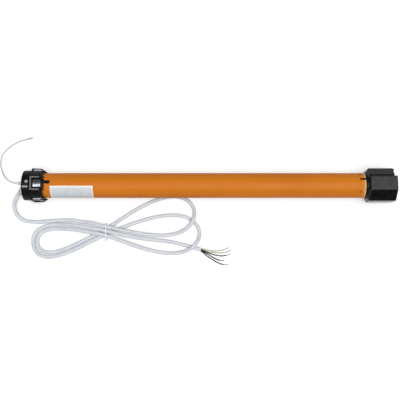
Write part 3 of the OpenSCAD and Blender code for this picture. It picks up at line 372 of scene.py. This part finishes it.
def crown_plastic():
    """Black moulding with painted highlights: its edges and its driving faces are coloured a lighter grey."""
    look = Look("crown_plastic", specular_ior_level=0.2)
    rounded, mask = look.edges(CROWN_EDGE_R)
    shade = look.ramp(look.noise(MOULD_CLOUD, 5), (0.3, tinted(BLACK, 0.7)), (0.7, tinted(BLACK, 1.3)))
    # Painted highlight along the edges
    shade = look.mix(mask, shade, CROWN_EDGE)
    # Painted highlight on the driving faces, broken up by noise
    across = calc(look.tree, "ABSOLUTE", look.axis("Y"))
    height = calc(look.tree, "ABSOLUTE", calc(look.tree, "SUBTRACT", look.axis("Z"), AXIS_Z * MM))
    reach = calc(look.tree, "MAXIMUM", across, height)
    patch = look.span(look.noise(0.0022, 4), 0.45, 1)
    face_sheen = calc(look.tree, "MULTIPLY", look.span(reach, 0, 1, FACE_SHEEN_START, FACE_SHEEN_FULL), patch)
    look.colour(look.mix(face_sheen, shade, CROWN_FACE_SHEEN))
    look.rough(look.span(look.noise(MOULD_GLOSS, 4), 0.36, 0.48))
    look.normal(look.bump(look.noise(0.0005, 2), 0.5, 0.00004, rounded))
    return look.mat


LOOKS = {
    "tube_paint": painted_tube(),
    "label": label_film(),
    # Rivet heads coloured a darker brown than the tube: painted shade in place of the dimples at the rivets
    "rivet_paint": moulded("rivet_paint", (0.36, 0.1, 0.015), 0.4, edge_wear_and_sheen=1.4, level=0.3),
    # The head's edges are coloured nine times lighter than its black: a painted highlight
    "head_plastic": moulded("head_plastic", BLACK, 0.46, edge_wear_and_sheen=9.0, level=0.14),
    "adapter_plastic": adapter_plastic(),
    "button_grey": moulded("button_grey", (0.32, 0.32, 0.33), 0.4, edge_wear_and_sheen=1.2),
    "spring_steel": metal("spring_steel", (0.2, 0.2, 0.222), 0.16, stretch=(0.05, 1, 1), depth=0.000003),
    "machined_steel": metal("machined_steel", (0.5, 0.51, 0.53), 0.36, stretch=(1, 0.1, 0.1)),
    "die_cast": metal("die_cast", (0.42, 0.43, 0.45), 0.5, grain=0.0012, depth=0.00004),
    "dark_cast": moulded("dark_cast", (0.012, 0.008, 0.007), 0.55, grain=0.0012, level=0.2),
    "bronze": metal("bronze", (0.55, 0.36, 0.14), 0.4),
    "copper": metal("copper", (0.6, 0.24, 0.1), 0.38, stretch=(0.08, 1, 1), depth=0.00004),
    "friction_pad": moulded("friction_pad", (0.04, 0.034, 0.03), 0.8, grain=0.0012, depth=0.0001),
    "gear_plastic": moulded("gear_plastic", (0.68, 0.63, 0.52), 0.4, mottle=0.06, edge_wear_and_sheen=1.1),
    "inner_plastic": moulded("inner_plastic", (0.045, 0.045, 0.05), 0.5),
    "board_green": moulded("board_green", (0.03, 0.13, 0.05), 0.35, grain=0.0003, mottle=0.2),
    "capacitor_can": moulded("capacitor_can", (0.7, 0.7, 0.68), 0.35, mottle=0.05, edge_wear_and_sheen=1.1),
    "cable_white": jacket("cable_white", (0.66, 0.69, 0.735)),
    "gland_grey": moulded("gland_grey", (0.56, 0.56, 0.57), 0.45, mottle=0.1, edge_wear_and_sheen=1.2),
    "tie_nylon": jacket("tie_nylon", (0.74, 0.75, 0.77), 0.35, 0.003),
    "core_earth": striped_core(),
    "core_white": jacket("core_white", (0.5, 0.52, 0.43), 0.45, 0.003),
    "core_brown": jacket("core_brown", (0.026, 0.017, 0.013), 0.4, 0.003, 0.2),
    "core_black": jacket("core_black", (0.006, 0.006, 0.007), 0.4, 0.003, 0.2),
    "core_blue": jacket("core_blue", (0.012, 0.014, 0.026), 0.4, 0.003, 0.2),
    "tinned_copper": metal("tinned_copper", (0.15, 0.135, 0.125), 0.4, grain=0.0003, spread=0.3),
}
NODE_LOOKS = {
    "crown_ring": crown_plastic(),
    "crown_cheeks": metal("cheek_steel", (0.27, 0.265, 0.29), 0.45, stretch=(0.05, 1, 1)),
}
AERIAL_LOOK = jacket("aerial_grey", (0.53, 0.53, 0.54), 0.45, 0.003)
slot_of = {row["node"]: row["material_slot"] for row in frame["record"]["subparts"]}
for name, obj in frame["nodes"].items():
    obj.data.materials.clear()
    obj.data.materials.append(NODE_LOOKS.get(name, LOOKS[slot_of[name]]))


# Routes of the cords, in millimetres: the lead from the head face, hank, tail and cores from the tie

def rows(points):
    return [np.array(p, float) for p in points]


def unit(v):
    return v / np.linalg.norm(v)


CABLE_D = 6.8
CABLE_R = CABLE_D / 2
RELIEF_LEN = 20.0
RELIEF_ROOT = np.array((X_FACE - 0.8, 0.8, AXIS_Z - 6))
RELIEF_DIR = unit(np.array((-0.6, -0.76, -0.25)))
LEAD = rows([
    (-20.4, -25.5, 14.4), (-22.2, -32.1, 12), (-22.3, -38.9, 9.7), (-20.6, -45.4, 7.6),
    (-17.3, -51.3, 5.9), (-12.5, -56.2, 4.6), (-6.7, -59.6, 3.8), (2, -62, 3.4), (13, -63.4, 3.4),
    (26, -63, 3.4), (44, -61.6, 3.4), (66, -60.2, 3.4), (86, -60.8, 3.9), (103, -63.6, 6),
    (117, -65.4, 9.6),
])
TAIL = rows([
    (32, -7.4, 12.2), (53, -11.6, 10.4), (82, -15.4, 6), (112, -18.6, 3.6), (132, -22.6, 3.4),
    (152, -27.6, 3.4), (163, -30.6, 3.4), (172.6, -33.6, 3.4),
])
TIE = np.array((X_FACE + 146, -80.5, 0))
# Waist of the hank: half its length, heights of its two layers, steps between strands, rise of a hump
WAIST = 14.0
LOW_Z = CABLE_R + 1.6
HIGH_Z = LOW_Z + CABLE_D + 0.5
HIGH_STEP = CABLE_D + 0.8
LOW_STEP = CABLE_D + 2.2
HUMP = CABLE_D + 1.4
STEPS = 24
# Share of a loop over which its strand stays up at the waist, and over which it comes down to the table
STAY, DESCENT = 0.05, 0.16
# Points that a smooth curve gets between two given ones
CABLE_PARTS, CORE_PARTS, AERIAL_PARTS = 4, 6, 5
# Smoothness of the round section of a cord
CABLE_ROUND, THIN_ROUND = 7, 4
# Each loop: side, reach, lean, half width, bluntness, place and half length of its hump
LOOP_A = (1, 149, 28.4, 31.5, 0, 0.40, 0.17)
LOOP_B = (1, 156, 1, 30, 0, 0.385, 0.13)
LOOP_INNER = (-1, 113, -17.6, 21.9, 0.03, 0, 0)
LOOP_OUTER = (-1, 120.8, -18, 23.9, 0.03, 0, 0)


def smooth(q):
    """Eased step from 0 to 1."""
    s = min(max(q, 0), 1)
    return s * s * (3 - 2 * s)


def fall(t):
    """How far a strand is still up, as a share, at that share of its loop."""
    return 1 - smooth((t - STAY) / DESCENT)


def hump(q):
    """Rise over a strand below, from -1 to 1."""
    return (1 + math.cos(math.pi * q)) / 2 if abs(q) < 1 else 0


def turned(loop, u, v):
    """A point of a loop, turned by the loop's lean."""
    a = math.atan2(loop[2], loop[1])
    return u * math.cos(a) - v * math.sin(a), u * math.sin(a) + v * math.cos(a)


def end_slope(loop, side):
    """Slope at which a loop meets the waist."""
    u, v = turned(loop, loop[1] * (1 + 3 * loop[4]) / (1 - loop[4]), side * 2 * loop[3])
    return loop[0] * v / u


# A strand through the waist: its place on the middle line, its slopes at the left and right, its layer
STRAND_IN = (HIGH_STEP, -0.25, end_slope(LOOP_A, -1), HIGH_Z)
STRAND_A = (LOW_STEP / 2, end_slope(LOOP_INNER, -1), end_slope(LOOP_A, 1), LOW_Z)
STRAND_INNER = (-HIGH_STEP, end_slope(LOOP_INNER, 1), end_slope(LOOP_B, -1), HIGH_Z)
STRAND_B = (-LOW_STEP / 2, end_slope(LOOP_OUTER, -1), end_slope(LOOP_B, 1), LOW_Z)
STRAND_OUT = (0, end_slope(LOOP_OUTER, 1), -0.22, HIGH_Z)


def strand_end(s, side):
    """Place of a strand across the hank, where it leaves the waist."""
    return s[0] + side * WAIST * (s[2] if side > 0 else s[1])


def waist_points(s):
    """Points of a strand inside the waist."""
    a, b, w = strand_end(s, -1), strand_end(s, 1), 2 * WAIST
    found = []
    for q in (0.25, 0.5, 0.75):
        y = a * (2 * q**3 - 3 * q**2 + 1) + b * (3 * q**2 - 2 * q**3)
        y += w * s[1] * (q**3 - 2 * q**2 + q) + w * s[2] * (q**3 - q**2)
        found.append(np.array(((q - 0.5) * w, y, s[3])))
    return found


def loop_points(loop, low, high):
    """Points of a loop from one strand to the next."""
    side, reach, _, half, blunt, place, length = loop
    found = []
    for i in range(STEPS + 1):
        t = i / STEPS
        mix = smooth(t)
        out = reach * (math.sin(math.pi * t) + blunt * math.sin(3 * math.pi * t)) / (1 - blunt)
        u, v = turned(loop, out, -half * math.sin(2 * math.pi * t))
        y = strand_end(low, side) * (1 - mix) + strand_end(high, side) * mix + v
        z = CABLE_R + (low[3] - CABLE_R) * fall(t) + (high[3] - CABLE_R) * fall(1 - t)
        z += HUMP * hump((t - place) / length) if length else 0
        found.append(np.array((side * (WAIST + u), y, z)))
    return found


def cable_points():
    """The whole cable: lead, hank and tail."""
    hank = [np.array((-WAIST, strand_end(STRAND_IN, -1), HIGH_Z))]
    hank += waist_points(STRAND_IN) + loop_points(LOOP_A, STRAND_IN, STRAND_A)
    hank += waist_points(STRAND_A)[::-1] + loop_points(LOOP_INNER, STRAND_A, STRAND_INNER)
    hank += waist_points(STRAND_INNER) + loop_points(LOOP_B, STRAND_INNER, STRAND_B)
    hank += waist_points(STRAND_B)[::-1] + loop_points(LOOP_OUTER, STRAND_B, STRAND_OUT)
    hank += waist_points(STRAND_OUT) + [np.array((WAIST, strand_end(STRAND_OUT, 1), HIGH_Z))]
    tip = RELIEF_ROOT + RELIEF_LEN * RELIEF_DIR
    lead = [tip, tip + CABLE_D * RELIEF_DIR] + [p + (X_FACE, 0, 0) for p in LEAD]
    return lead + [TIE + p for p in hank + TAIL]


def dense(points, parts):
    """Points on a smooth curve through the given ones."""
    p = [2 * points[0] - points[1], *points, 2 * points[-1] - points[-2]]
    found = []
    for a, b, c, d in zip(p, p[1:], p[2:], p[3:]):
        knots = np.cumsum([0] + [np.linalg.norm(y - x) ** 0.5 for x, y in ((a, b), (b, c), (c, d))])
        k0, k1, k2, k3 = knots
        for i in range(parts):
            k = k1 + (k2 - k1) * i / parts
            ab = (k1 - k) / (k1 - k0) * a + (k - k0) / (k1 - k0) * b
            bc = (k2 - k) / (k2 - k1) * b + (k - k1) / (k2 - k1) * c
            cd = (k3 - k) / (k3 - k2) * c + (k - k2) / (k3 - k2) * d
            abc = (k2 - k) / (k2 - k0) * ab + (k - k0) / (k2 - k0) * bc
            bcd = (k3 - k) / (k3 - k1) * bc + (k - k1) / (k3 - k1) * cd
            found.append((k2 - k) / (k2 - k1) * abc + (k - k1) / (k2 - k1) * bcd)
    return found + [points[-1]]


def cord(name, points, diameter, slot, smoothness, look=None):
    """A round curve along points given in millimetres."""
    data = bpy.data.curves.new(name, "CURVE")
    data.dimensions = "3D"
    data.bevel_depth = diameter / 2 * MM
    data.bevel_resolution = smoothness
    data.use_fill_caps = True
    spline = data.splines.new("POLY")
    spline.points.add(len(points) - 1)
    for knot, p in zip(spline.points, points):
        knot.co = (*(p * MM), 1)
    spline.use_smooth = True
    obj = bpy.data.objects.new(name, data)
    scene.collection.objects.link(obj)
    data.materials.append(look or LOOKS[slot])
    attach(obj, "motor")
    return obj


def new_mesh(name, verts, faces, slot, smooth_faces=True, look=None):
    """A mesh on the motor, from points in millimetres."""
    data = bpy.data.meshes.new(name)
    data.from_pydata([tuple(np.array(v) * MM) for v in verts], [], faces)
    data.update()
    for poly in data.polygons:
        poly.use_smooth = smooth_faces
    obj = bpy.data.objects.new(name, data)
    scene.collection.objects.link(obj)
    data.materials.append(look or LOOKS[slot])
    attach(obj, "motor")
    return obj


cable_route = dense(cable_points(), CABLE_PARTS)
cable = cord("cable", cable_route, CABLE_D, "cable_white", CABLE_ROUND)
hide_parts("cable_lead", "cable_hank", "cable_tail")


# Cores: they fan out of the jacket, and each ends in bare twisted strands

CORE_D = 2.0
CORE_ROUTES = {
    "core_earth": [(185, -34.1, 2.6), (198, -36, 1.4), (210, -34.6, 1), (216, -32.8, 1), (222.5, -29.6, 1)],
    "core_white": [(185, -37, 1.2), (202, -39.4, 1), (213, -39, 1), (219, -37.8, 1), (227, -34.6, 1)],
    "core_brown": [(184, -38.4, 4), (193.5, -42, 2), (202, -44, 1), (211, -44.8, 1), (218, -43.8, 1),
                   (226, -41.6, 1)],
    "core_black": [(181, -39.4, 1.3), (188, -43.4, 1), (194, -47.2, 1), (202, -51.4, 1), (208, -53, 1),
                   (215, -53.4, 1)],
    "core_blue": [(177, -39.2, 3), (184, -45.2, 1.6), (194, -51.6, 1), (203, -57, 1), (213, -60.4, 1),
                  (222.5, -60.8, 1)],
}
CORE_ANGLES = (18, -54, 90, 234, 162)
CORE_SPREAD = 0.95 * CORE_D
# Bare ends: six strands round a seventh, their radius, their lay, and how they open towards the tip
STRANDS, STRAND_R, STRAND_SIDES = 7, 0.19, 6
STRAND_TURN, STRAND_OFF, STRAND_OPENING = 0.09, 0.36, 0.02
tail_end = cable_route[-1]
tail_dir = unit(cable_route[-1] - cable_route[-2])
side_dir = unit(np.cross((0, 0, 1), tail_dir))
strand_verts, strand_faces = [], []


def sweep(points, radii, sides, verts, faces):
    """Adds a closed tube along points to a mesh, with a radius at each point."""
    first = len(verts)
    last = len(points) - 1
    for i, (p, radius) in enumerate(zip(points, radii)):
        d = unit(points[min(i + 1, last)] - points[max(i - 1, 0)])
        across = unit(np.cross((0, 0, 1), d))
        up = np.cross(d, across)
        for j in range(sides):
            a = 2 * math.pi * j / sides
            verts.append(p + radius * (math.cos(a) * across + math.sin(a) * up))
    for i in range(last):
        for j in range(sides):
            a, b = first + i * sides + j, first + i * sides + (j + 1) % sides
            faces.append((a, b, b + sides, a + sides))
    faces.append(tuple(first + j for j in range(sides))[::-1])
    faces.append(tuple(first + last * sides + j for j in range(sides)))


for (name, route), angle in zip(CORE_ROUTES.items(), CORE_ANGLES):
    a = math.radians(angle)
    start = tail_end + CORE_SPREAD * (math.cos(a) * side_dir + math.sin(a) * np.array((0, 0, 1)))
    curve = dense([start, *(TIE + p for p in rows(route))], CORE_PARTS)
    covered = curve[:-CORE_PARTS]
    core = cord(name + "_wire", covered, CORE_D, name, THIN_ROUND)
    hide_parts(name)
    bare = curve[-CORE_PARTS - 1:]
    d = unit(bare[-1] - bare[0])
    across = unit(np.cross(d, (0, 0, 1)))
    up = np.cross(across, d)
    for k in range(STRANDS):
        line = []
        for i, p in enumerate(bare):
            turn = 2 * math.pi * (k / (STRANDS - 1) + STRAND_TURN * i)
            off = 0 if k == STRANDS - 1 else STRAND_OFF + STRAND_OPENING * i
            line.append(p + off * (math.cos(turn) * across + math.sin(turn) * up))
        sweep(line, [STRAND_R] * len(line), STRAND_SIDES, strand_verts, strand_faces)
strands = new_mesh("core_strands", strand_verts, strand_faces, "tinned_copper")
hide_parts("core_ends")


# Aerial wire and its sleeve

AERIAL_D, AERIAL_TIP_D = 2.2, 3.2
AERIAL_LOW = AERIAL_D / 2
AERIAL = rows([
    (-11, 3.2, 34), (-14, 3.6, 33.6), (-21, 5.2, 30.6), (-28.4, 8.7, 25), (-35.6, 13.6, 18),
    (-42, 20, 11.4), (-47.8, 28.2, 6), (-51.6, 37.2, 2.6), (-53.4, 46.6, 1.4), (-52.6, 56, AERIAL_LOW),
    (-49.2, 64, AERIAL_LOW), (-43.6, 71.4, AERIAL_LOW), (-37.4, 77.2, AERIAL_LOW),
    (-29.4, 82.7, AERIAL_LOW), (-18.8, 88.2, AERIAL_LOW), (-10.5, 91.1, AERIAL_LOW),
    (-3.4, 92.8, AERIAL_LOW),
])
# Sleeve: distance from the end of the wire, and radius
SLEEVE = [(-1.0, 1.1), (-0.6, 1.4), (0.0, 1.6), (7.0, 1.6), (7.6, 1.45), (8.0, 1.1)]
SLEEVE_SIDES = 16
aerial_route = dense([p + (X_FACE, 0, 0) for p in AERIAL], AERIAL_PARTS)
aerial = cord("aerial", aerial_route, AERIAL_D, "cable_white", THIN_ROUND, AERIAL_LOOK)
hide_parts("aerial_wire")
aerial_dir = unit(aerial_route[-1] - aerial_route[-2])
sleeve_start = aerial_route[-1] + (0, 0, (AERIAL_TIP_D - AERIAL_D) / 2)
sleeve_line = [sleeve_start + along * aerial_dir for along, _ in SLEEVE]
sleeve_verts, sleeve_faces = [], []
sweep(sleeve_line, [radius for _, radius in SLEEVE], SLEEVE_SIDES, sleeve_verts, sleeve_faces)
sleeve = new_mesh("aerial_sleeve", sleeve_verts, sleeve_faces, "cable_white", look=AERIAL_LOOK)
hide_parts("aerial_tip")


# Tie round the waist of the hank: a band with chamfered edges, and its head

TIE_W, TIE_T, SLACK = 2.6, 1.1, 0.3
LEAN = TIE_W / 2 + 0.4
CORNER_STEPS = 8
TIE_HEAD, TIE_HEAD_ROUND, ROUND_STEPS = 5, 0.5, 2
# Section of the band: place across its width, and share of its thickness
PROFILE = [
    (-0.5, 0.15), (-0.36, 0.0), (0.36, 0.0), (0.5, 0.15),
    (0.5, 0.85), (0.36, 1.0), (-0.36, 1.0), (-0.5, 0.85),
]


def band_outline(grow):
    """Outline round the strands, as points across and up, with rounded corners."""
    centres = [(HIGH_STEP + LEAN, HIGH_Z), (-HIGH_STEP - LEAN, HIGH_Z), (-LOW_STEP / 2 - LEAN, LOW_Z),
               (LOW_STEP / 2 + LEAN, LOW_Z)]
    found = []
    for i, (y, z) in enumerate(centres):
        py, pz = centres[i - 1]
        ny, nz = centres[(i + 1) % len(centres)]
        first = math.atan2(z - pz, y - py) - math.pi / 2
        last = math.atan2(nz - z, ny - y) - math.pi / 2
        while last < first:
            last += 2 * math.pi
        for k in range(CORNER_STEPS + 1):
            a = first + (last - first) * k / CORNER_STEPS
            found.append((y + (CABLE_R + grow) * math.cos(a), z + (CABLE_R + grow) * math.sin(a)))
    return found


band_verts, band_faces = [], []
rings = [band_outline(SLACK + TIE_T * h) for _, h in PROFILE]
count, corners = len(rings[0]), len(PROFILE)
for i in range(count):
    for (across, _), ring in zip(PROFILE, rings):
        y, z = ring[i]
        band_verts.append(TIE + np.array((across * TIE_W, y, z)))
for i in range(count):
    here, following = i * corners, (i + 1) % count * corners
    for j in range(corners):
        k = (j + 1) % corners
        band_faces.append((here + j, here + k, following + k, following + j))
HEAD_Y = HIGH_STEP + LEAN + CABLE_R + SLACK


def soft_box(centre, size, round_by, verts, faces):
    """Adds a box with rounded edges to a mesh."""
    first = len(verts)
    bm = bmesh.new()
    bmesh.ops.create_cube(bm, size=1)
    for v in bm.verts:
        v.co = Vector(centre) + Vector(c * s for c, s in zip(v.co, size))
    bmesh.ops.bevel(bm, geom=bm.edges[:], offset=round_by, segments=ROUND_STEPS, affect="EDGES")
    bm.verts.index_update()
    verts += [np.array(v.co) for v in bm.verts]
    faces += [tuple(first + v.index for v in f.verts) for f in bm.faces]
    bm.free()


head_centre = TIE + (0, -HEAD_Y - TIE_HEAD / 2, HIGH_Z - TIE_HEAD / 2)
soft_box(head_centre, (TIE_HEAD, TIE_HEAD, TIE_HEAD), TIE_HEAD_ROUND, band_verts, band_faces)
tie = new_mesh("tie_band", band_verts, band_faces, "tie_nylon", smooth_faces=False)
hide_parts("cable_tie")


# Ribs round the tapered strain relief

RELIEF_R0, RELIEF_R1 = 5.0, 3.9
RIB_SIDES, RIB_CORNERS = 40, 8
RIB_PLACES = (6.2, 8.7, 11.2, 13.7, 16.2, 18.7)
RIB_RISE, RIB_HALF = 0.5, 0.75
rib_verts, rib_faces = [], []
rib_side = unit(np.cross(RELIEF_DIR, (0, 0, 1)))
rib_up = np.cross(rib_side, RELIEF_DIR)
for along in RIB_PLACES:
    first = len(rib_verts)
    middle = RELIEF_ROOT + along * RELIEF_DIR
    mean = RELIEF_R0 + (RELIEF_R1 - RELIEF_R0) * along / RELIEF_LEN
    for i in range(RIB_SIDES):
        a = 2 * math.pi * i / RIB_SIDES
        spoke = math.cos(a) * rib_side + math.sin(a) * rib_up
        for j in range(RIB_CORNERS):
            b = 2 * math.pi * j / RIB_CORNERS
            out, on = RIB_RISE * math.cos(b), RIB_HALF * math.sin(b)
            rib_verts.append(middle + (mean + out) * spoke + on * RELIEF_DIR)
    for i in range(RIB_SIDES):
        here, following = first + i * RIB_CORNERS, first + (i + 1) % RIB_SIDES * RIB_CORNERS
        for j in range(RIB_CORNERS):
            k = (j + 1) % RIB_CORNERS
            rib_faces.append((here + j, here + k, following + k, following + j))
new_mesh("relief_ribs", rib_verts, rib_faces, "gland_grey")


# Pale inlay on the raised pad of the head

# Radius of the pad, and how far the inlay rises above it, dips at its border and goes in
PAD_R = 27.45
PAD_RISE, PAD_DIP, PAD_SINK = 0.12, -0.1, 0.3
# Places along the head and angles round it, each with its rise
PAD_STATIONS = [(2.6, PAD_DIP), (2.8, PAD_RISE), (11.8, PAD_RISE), (12.0, PAD_DIP)]
PAD_ANGLES = [
    (9, PAD_DIP), (9.4, PAD_RISE), (11.5, PAD_RISE), (13.5, PAD_RISE), (15.6, PAD_RISE), (16, PAD_DIP),
]
pad_verts, pad_faces = [], []
for sunk in (False, True):
    for x, end_rise in PAD_STATIONS:
        for angle, side_rise in PAD_ANGLES:
            r = PAD_R - PAD_SINK if sunk else PAD_R + min(end_rise, side_rise)
            a = math.radians(angle)
            pad_verts.append(np.array((X_FACE + x, -r * math.sin(a), AXIS_Z + r * math.cos(a))))
row_last, wide = len(PAD_STATIONS) - 1, len(PAD_ANGLES)
under = (row_last + 1) * wide
for i in range(row_last):
    for k in range(wide - 1):
        quad = (i * wide + k, i * wide + k + 1, (i + 1) * wide + k + 1, (i + 1) * wide + k)
        pad_faces.append(quad)
        pad_faces.append(tuple(under + v for v in quad[::-1]))
rim = list(range(wide)) + [i * wide + wide - 1 for i in range(1, row_last + 1)]
rim += [row_last * wide + k for k in range(wide - 2, -1, -1)]
rim += [i * wide for i in range(row_last - 1, 0, -1)]
for a, b in zip(rim, rim[1:] + rim[:1]):
    pad_faces.append((b, a, under + a, under + b))
new_mesh("pad_inlay", pad_verts, pad_faces, "button_grey", smooth_faces=False)


# Floor, light and world

FLOOR_R, COVE, WALL_H = 8.0, 0.4, 0.72
FLOOR_SIDES, COVE_STEPS = 96, 8
FLOOR_DROP = 0.0002
PAPER = (0.6, 0.6, 0.6)
GLOW_FLOOR, GLOW_WALL = 0.47, 0.8
SUN_ENERGY, SUN_SPREAD = 2.6, 46
SUN_DIRECTION = (-0.13, 0.165, -1)
# World: its colour from the horizon up to a height, and above it
SKY_LOW, SKY_HIGH, SKY_HEIGHT = (0.05, 0.05, 0.052), (0.28, 0.28, 0.285), 0.8

floor_line = [(FLOOR_R, 0.0)]
for a in np.linspace(0, math.pi / 2, COVE_STEPS + 1)[1:]:
    floor_line.append((FLOOR_R + COVE * math.sin(a), COVE - COVE * math.cos(a)))
floor_line.append((FLOOR_R + COVE, WALL_H))
floor_verts, floor_faces = [], [tuple(range(FLOOR_SIDES))]
for r, z in floor_line:
    for j in range(FLOOR_SIDES):
        a = 2 * math.pi * j / FLOOR_SIDES
        floor_verts.append((r * math.cos(a), r * math.sin(a), z))
for i in range(len(floor_line) - 1):
    for j in range(FLOOR_SIDES):
        a, b = i * FLOOR_SIDES + j, i * FLOOR_SIDES + (j + 1) % FLOOR_SIDES
        floor_faces.append((b, a, a + FLOOR_SIDES, b + FLOOR_SIDES))
floor_mesh = bpy.data.meshes.new("floor")
floor_mesh.from_pydata(floor_verts, [], floor_faces)
floor = bpy.data.objects.new("floor", floor_mesh)
floor.location.z = -FLOOR_DROP
scene.collection.objects.link(floor)

# The floor glows in view and in reflections only, so that it looks white and its glow lights nothing
ground = bpy.data.materials.new("floor_white")
ground.use_nodes = True
tree = ground.node_tree
tree.nodes.clear()
paper = tree.nodes.new("ShaderNodeBsdfDiffuse")
feed(tree, PAPER, paper.inputs["Color"])
rays = tree.nodes.new("ShaderNodeLightPath").outputs
mirrored = calc(tree, "MAXIMUM", rays["Is Glossy Ray"], rays["Is Transmission Ray"])
seen = calc(tree, "MAXIMUM", rays["Is Camera Ray"], mirrored)
place = tree.nodes.new("ShaderNodeSeparateXYZ")
feed(tree, tree.nodes.new("ShaderNodeNewGeometry").outputs["Position"], place.inputs[0])
lift = tree.nodes.new("ShaderNodeMapRange")
feed(tree, place.outputs["Z"], lift.inputs["Value"])
feed(tree, COVE, lift.inputs["From Max"])
feed(tree, GLOW_FLOOR, lift.inputs["To Min"])
feed(tree, GLOW_WALL, lift.inputs["To Max"])
glow = tree.nodes.new("ShaderNodeEmission")
feed(tree, (1, 1, 1), glow.inputs["Color"])
feed(tree, calc(tree, "MULTIPLY", seen, lift.outputs["Result"]), glow.inputs["Strength"])
both = tree.nodes.new("ShaderNodeAddShader")
feed(tree, paper.outputs[0], both.inputs[0])
feed(tree, glow.outputs[0], both.inputs[1])
feed(tree, both.outputs[0], tree.nodes.new("ShaderNodeOutputMaterial").inputs["Surface"])
floor_mesh.materials.append(ground)

sun = bpy.data.lights.new("overhead", "SUN")
sun.energy = SUN_ENERGY
sun.angle = math.radians(SUN_SPREAD)
lamp = bpy.data.objects.new("overhead", sun)
lamp.rotation_euler = Vector(SUN_DIRECTION).to_track_quat("-Z", "Y").to_euler()
scene.collection.objects.link(lamp)

world = bpy.data.worlds.new("studio")
world.use_nodes = True
scene.world = world
sky = world.node_tree
field = sky.nodes["Background"]
field.inputs["Strength"].default_value = 1.0
split = sky.nodes.new("ShaderNodeSeparateXYZ")
feed(sky, sky.nodes.new("ShaderNodeTexCoord").outputs["Generated"], split.inputs[0])
fade = sky.nodes.new("ShaderNodeValToRGB")
for mark, position, colour in zip(fade.color_ramp.elements, (0.0, SKY_HEIGHT), (SKY_LOW, SKY_HIGH)):
    mark.position = position
    mark.color = (*colour, 1)
feed(sky, split.outputs["Z"], fade.inputs["Fac"])
feed(sky, fade.outputs["Color"], field.inputs["Color"])

scene.view_settings.view_transform = "Standard"
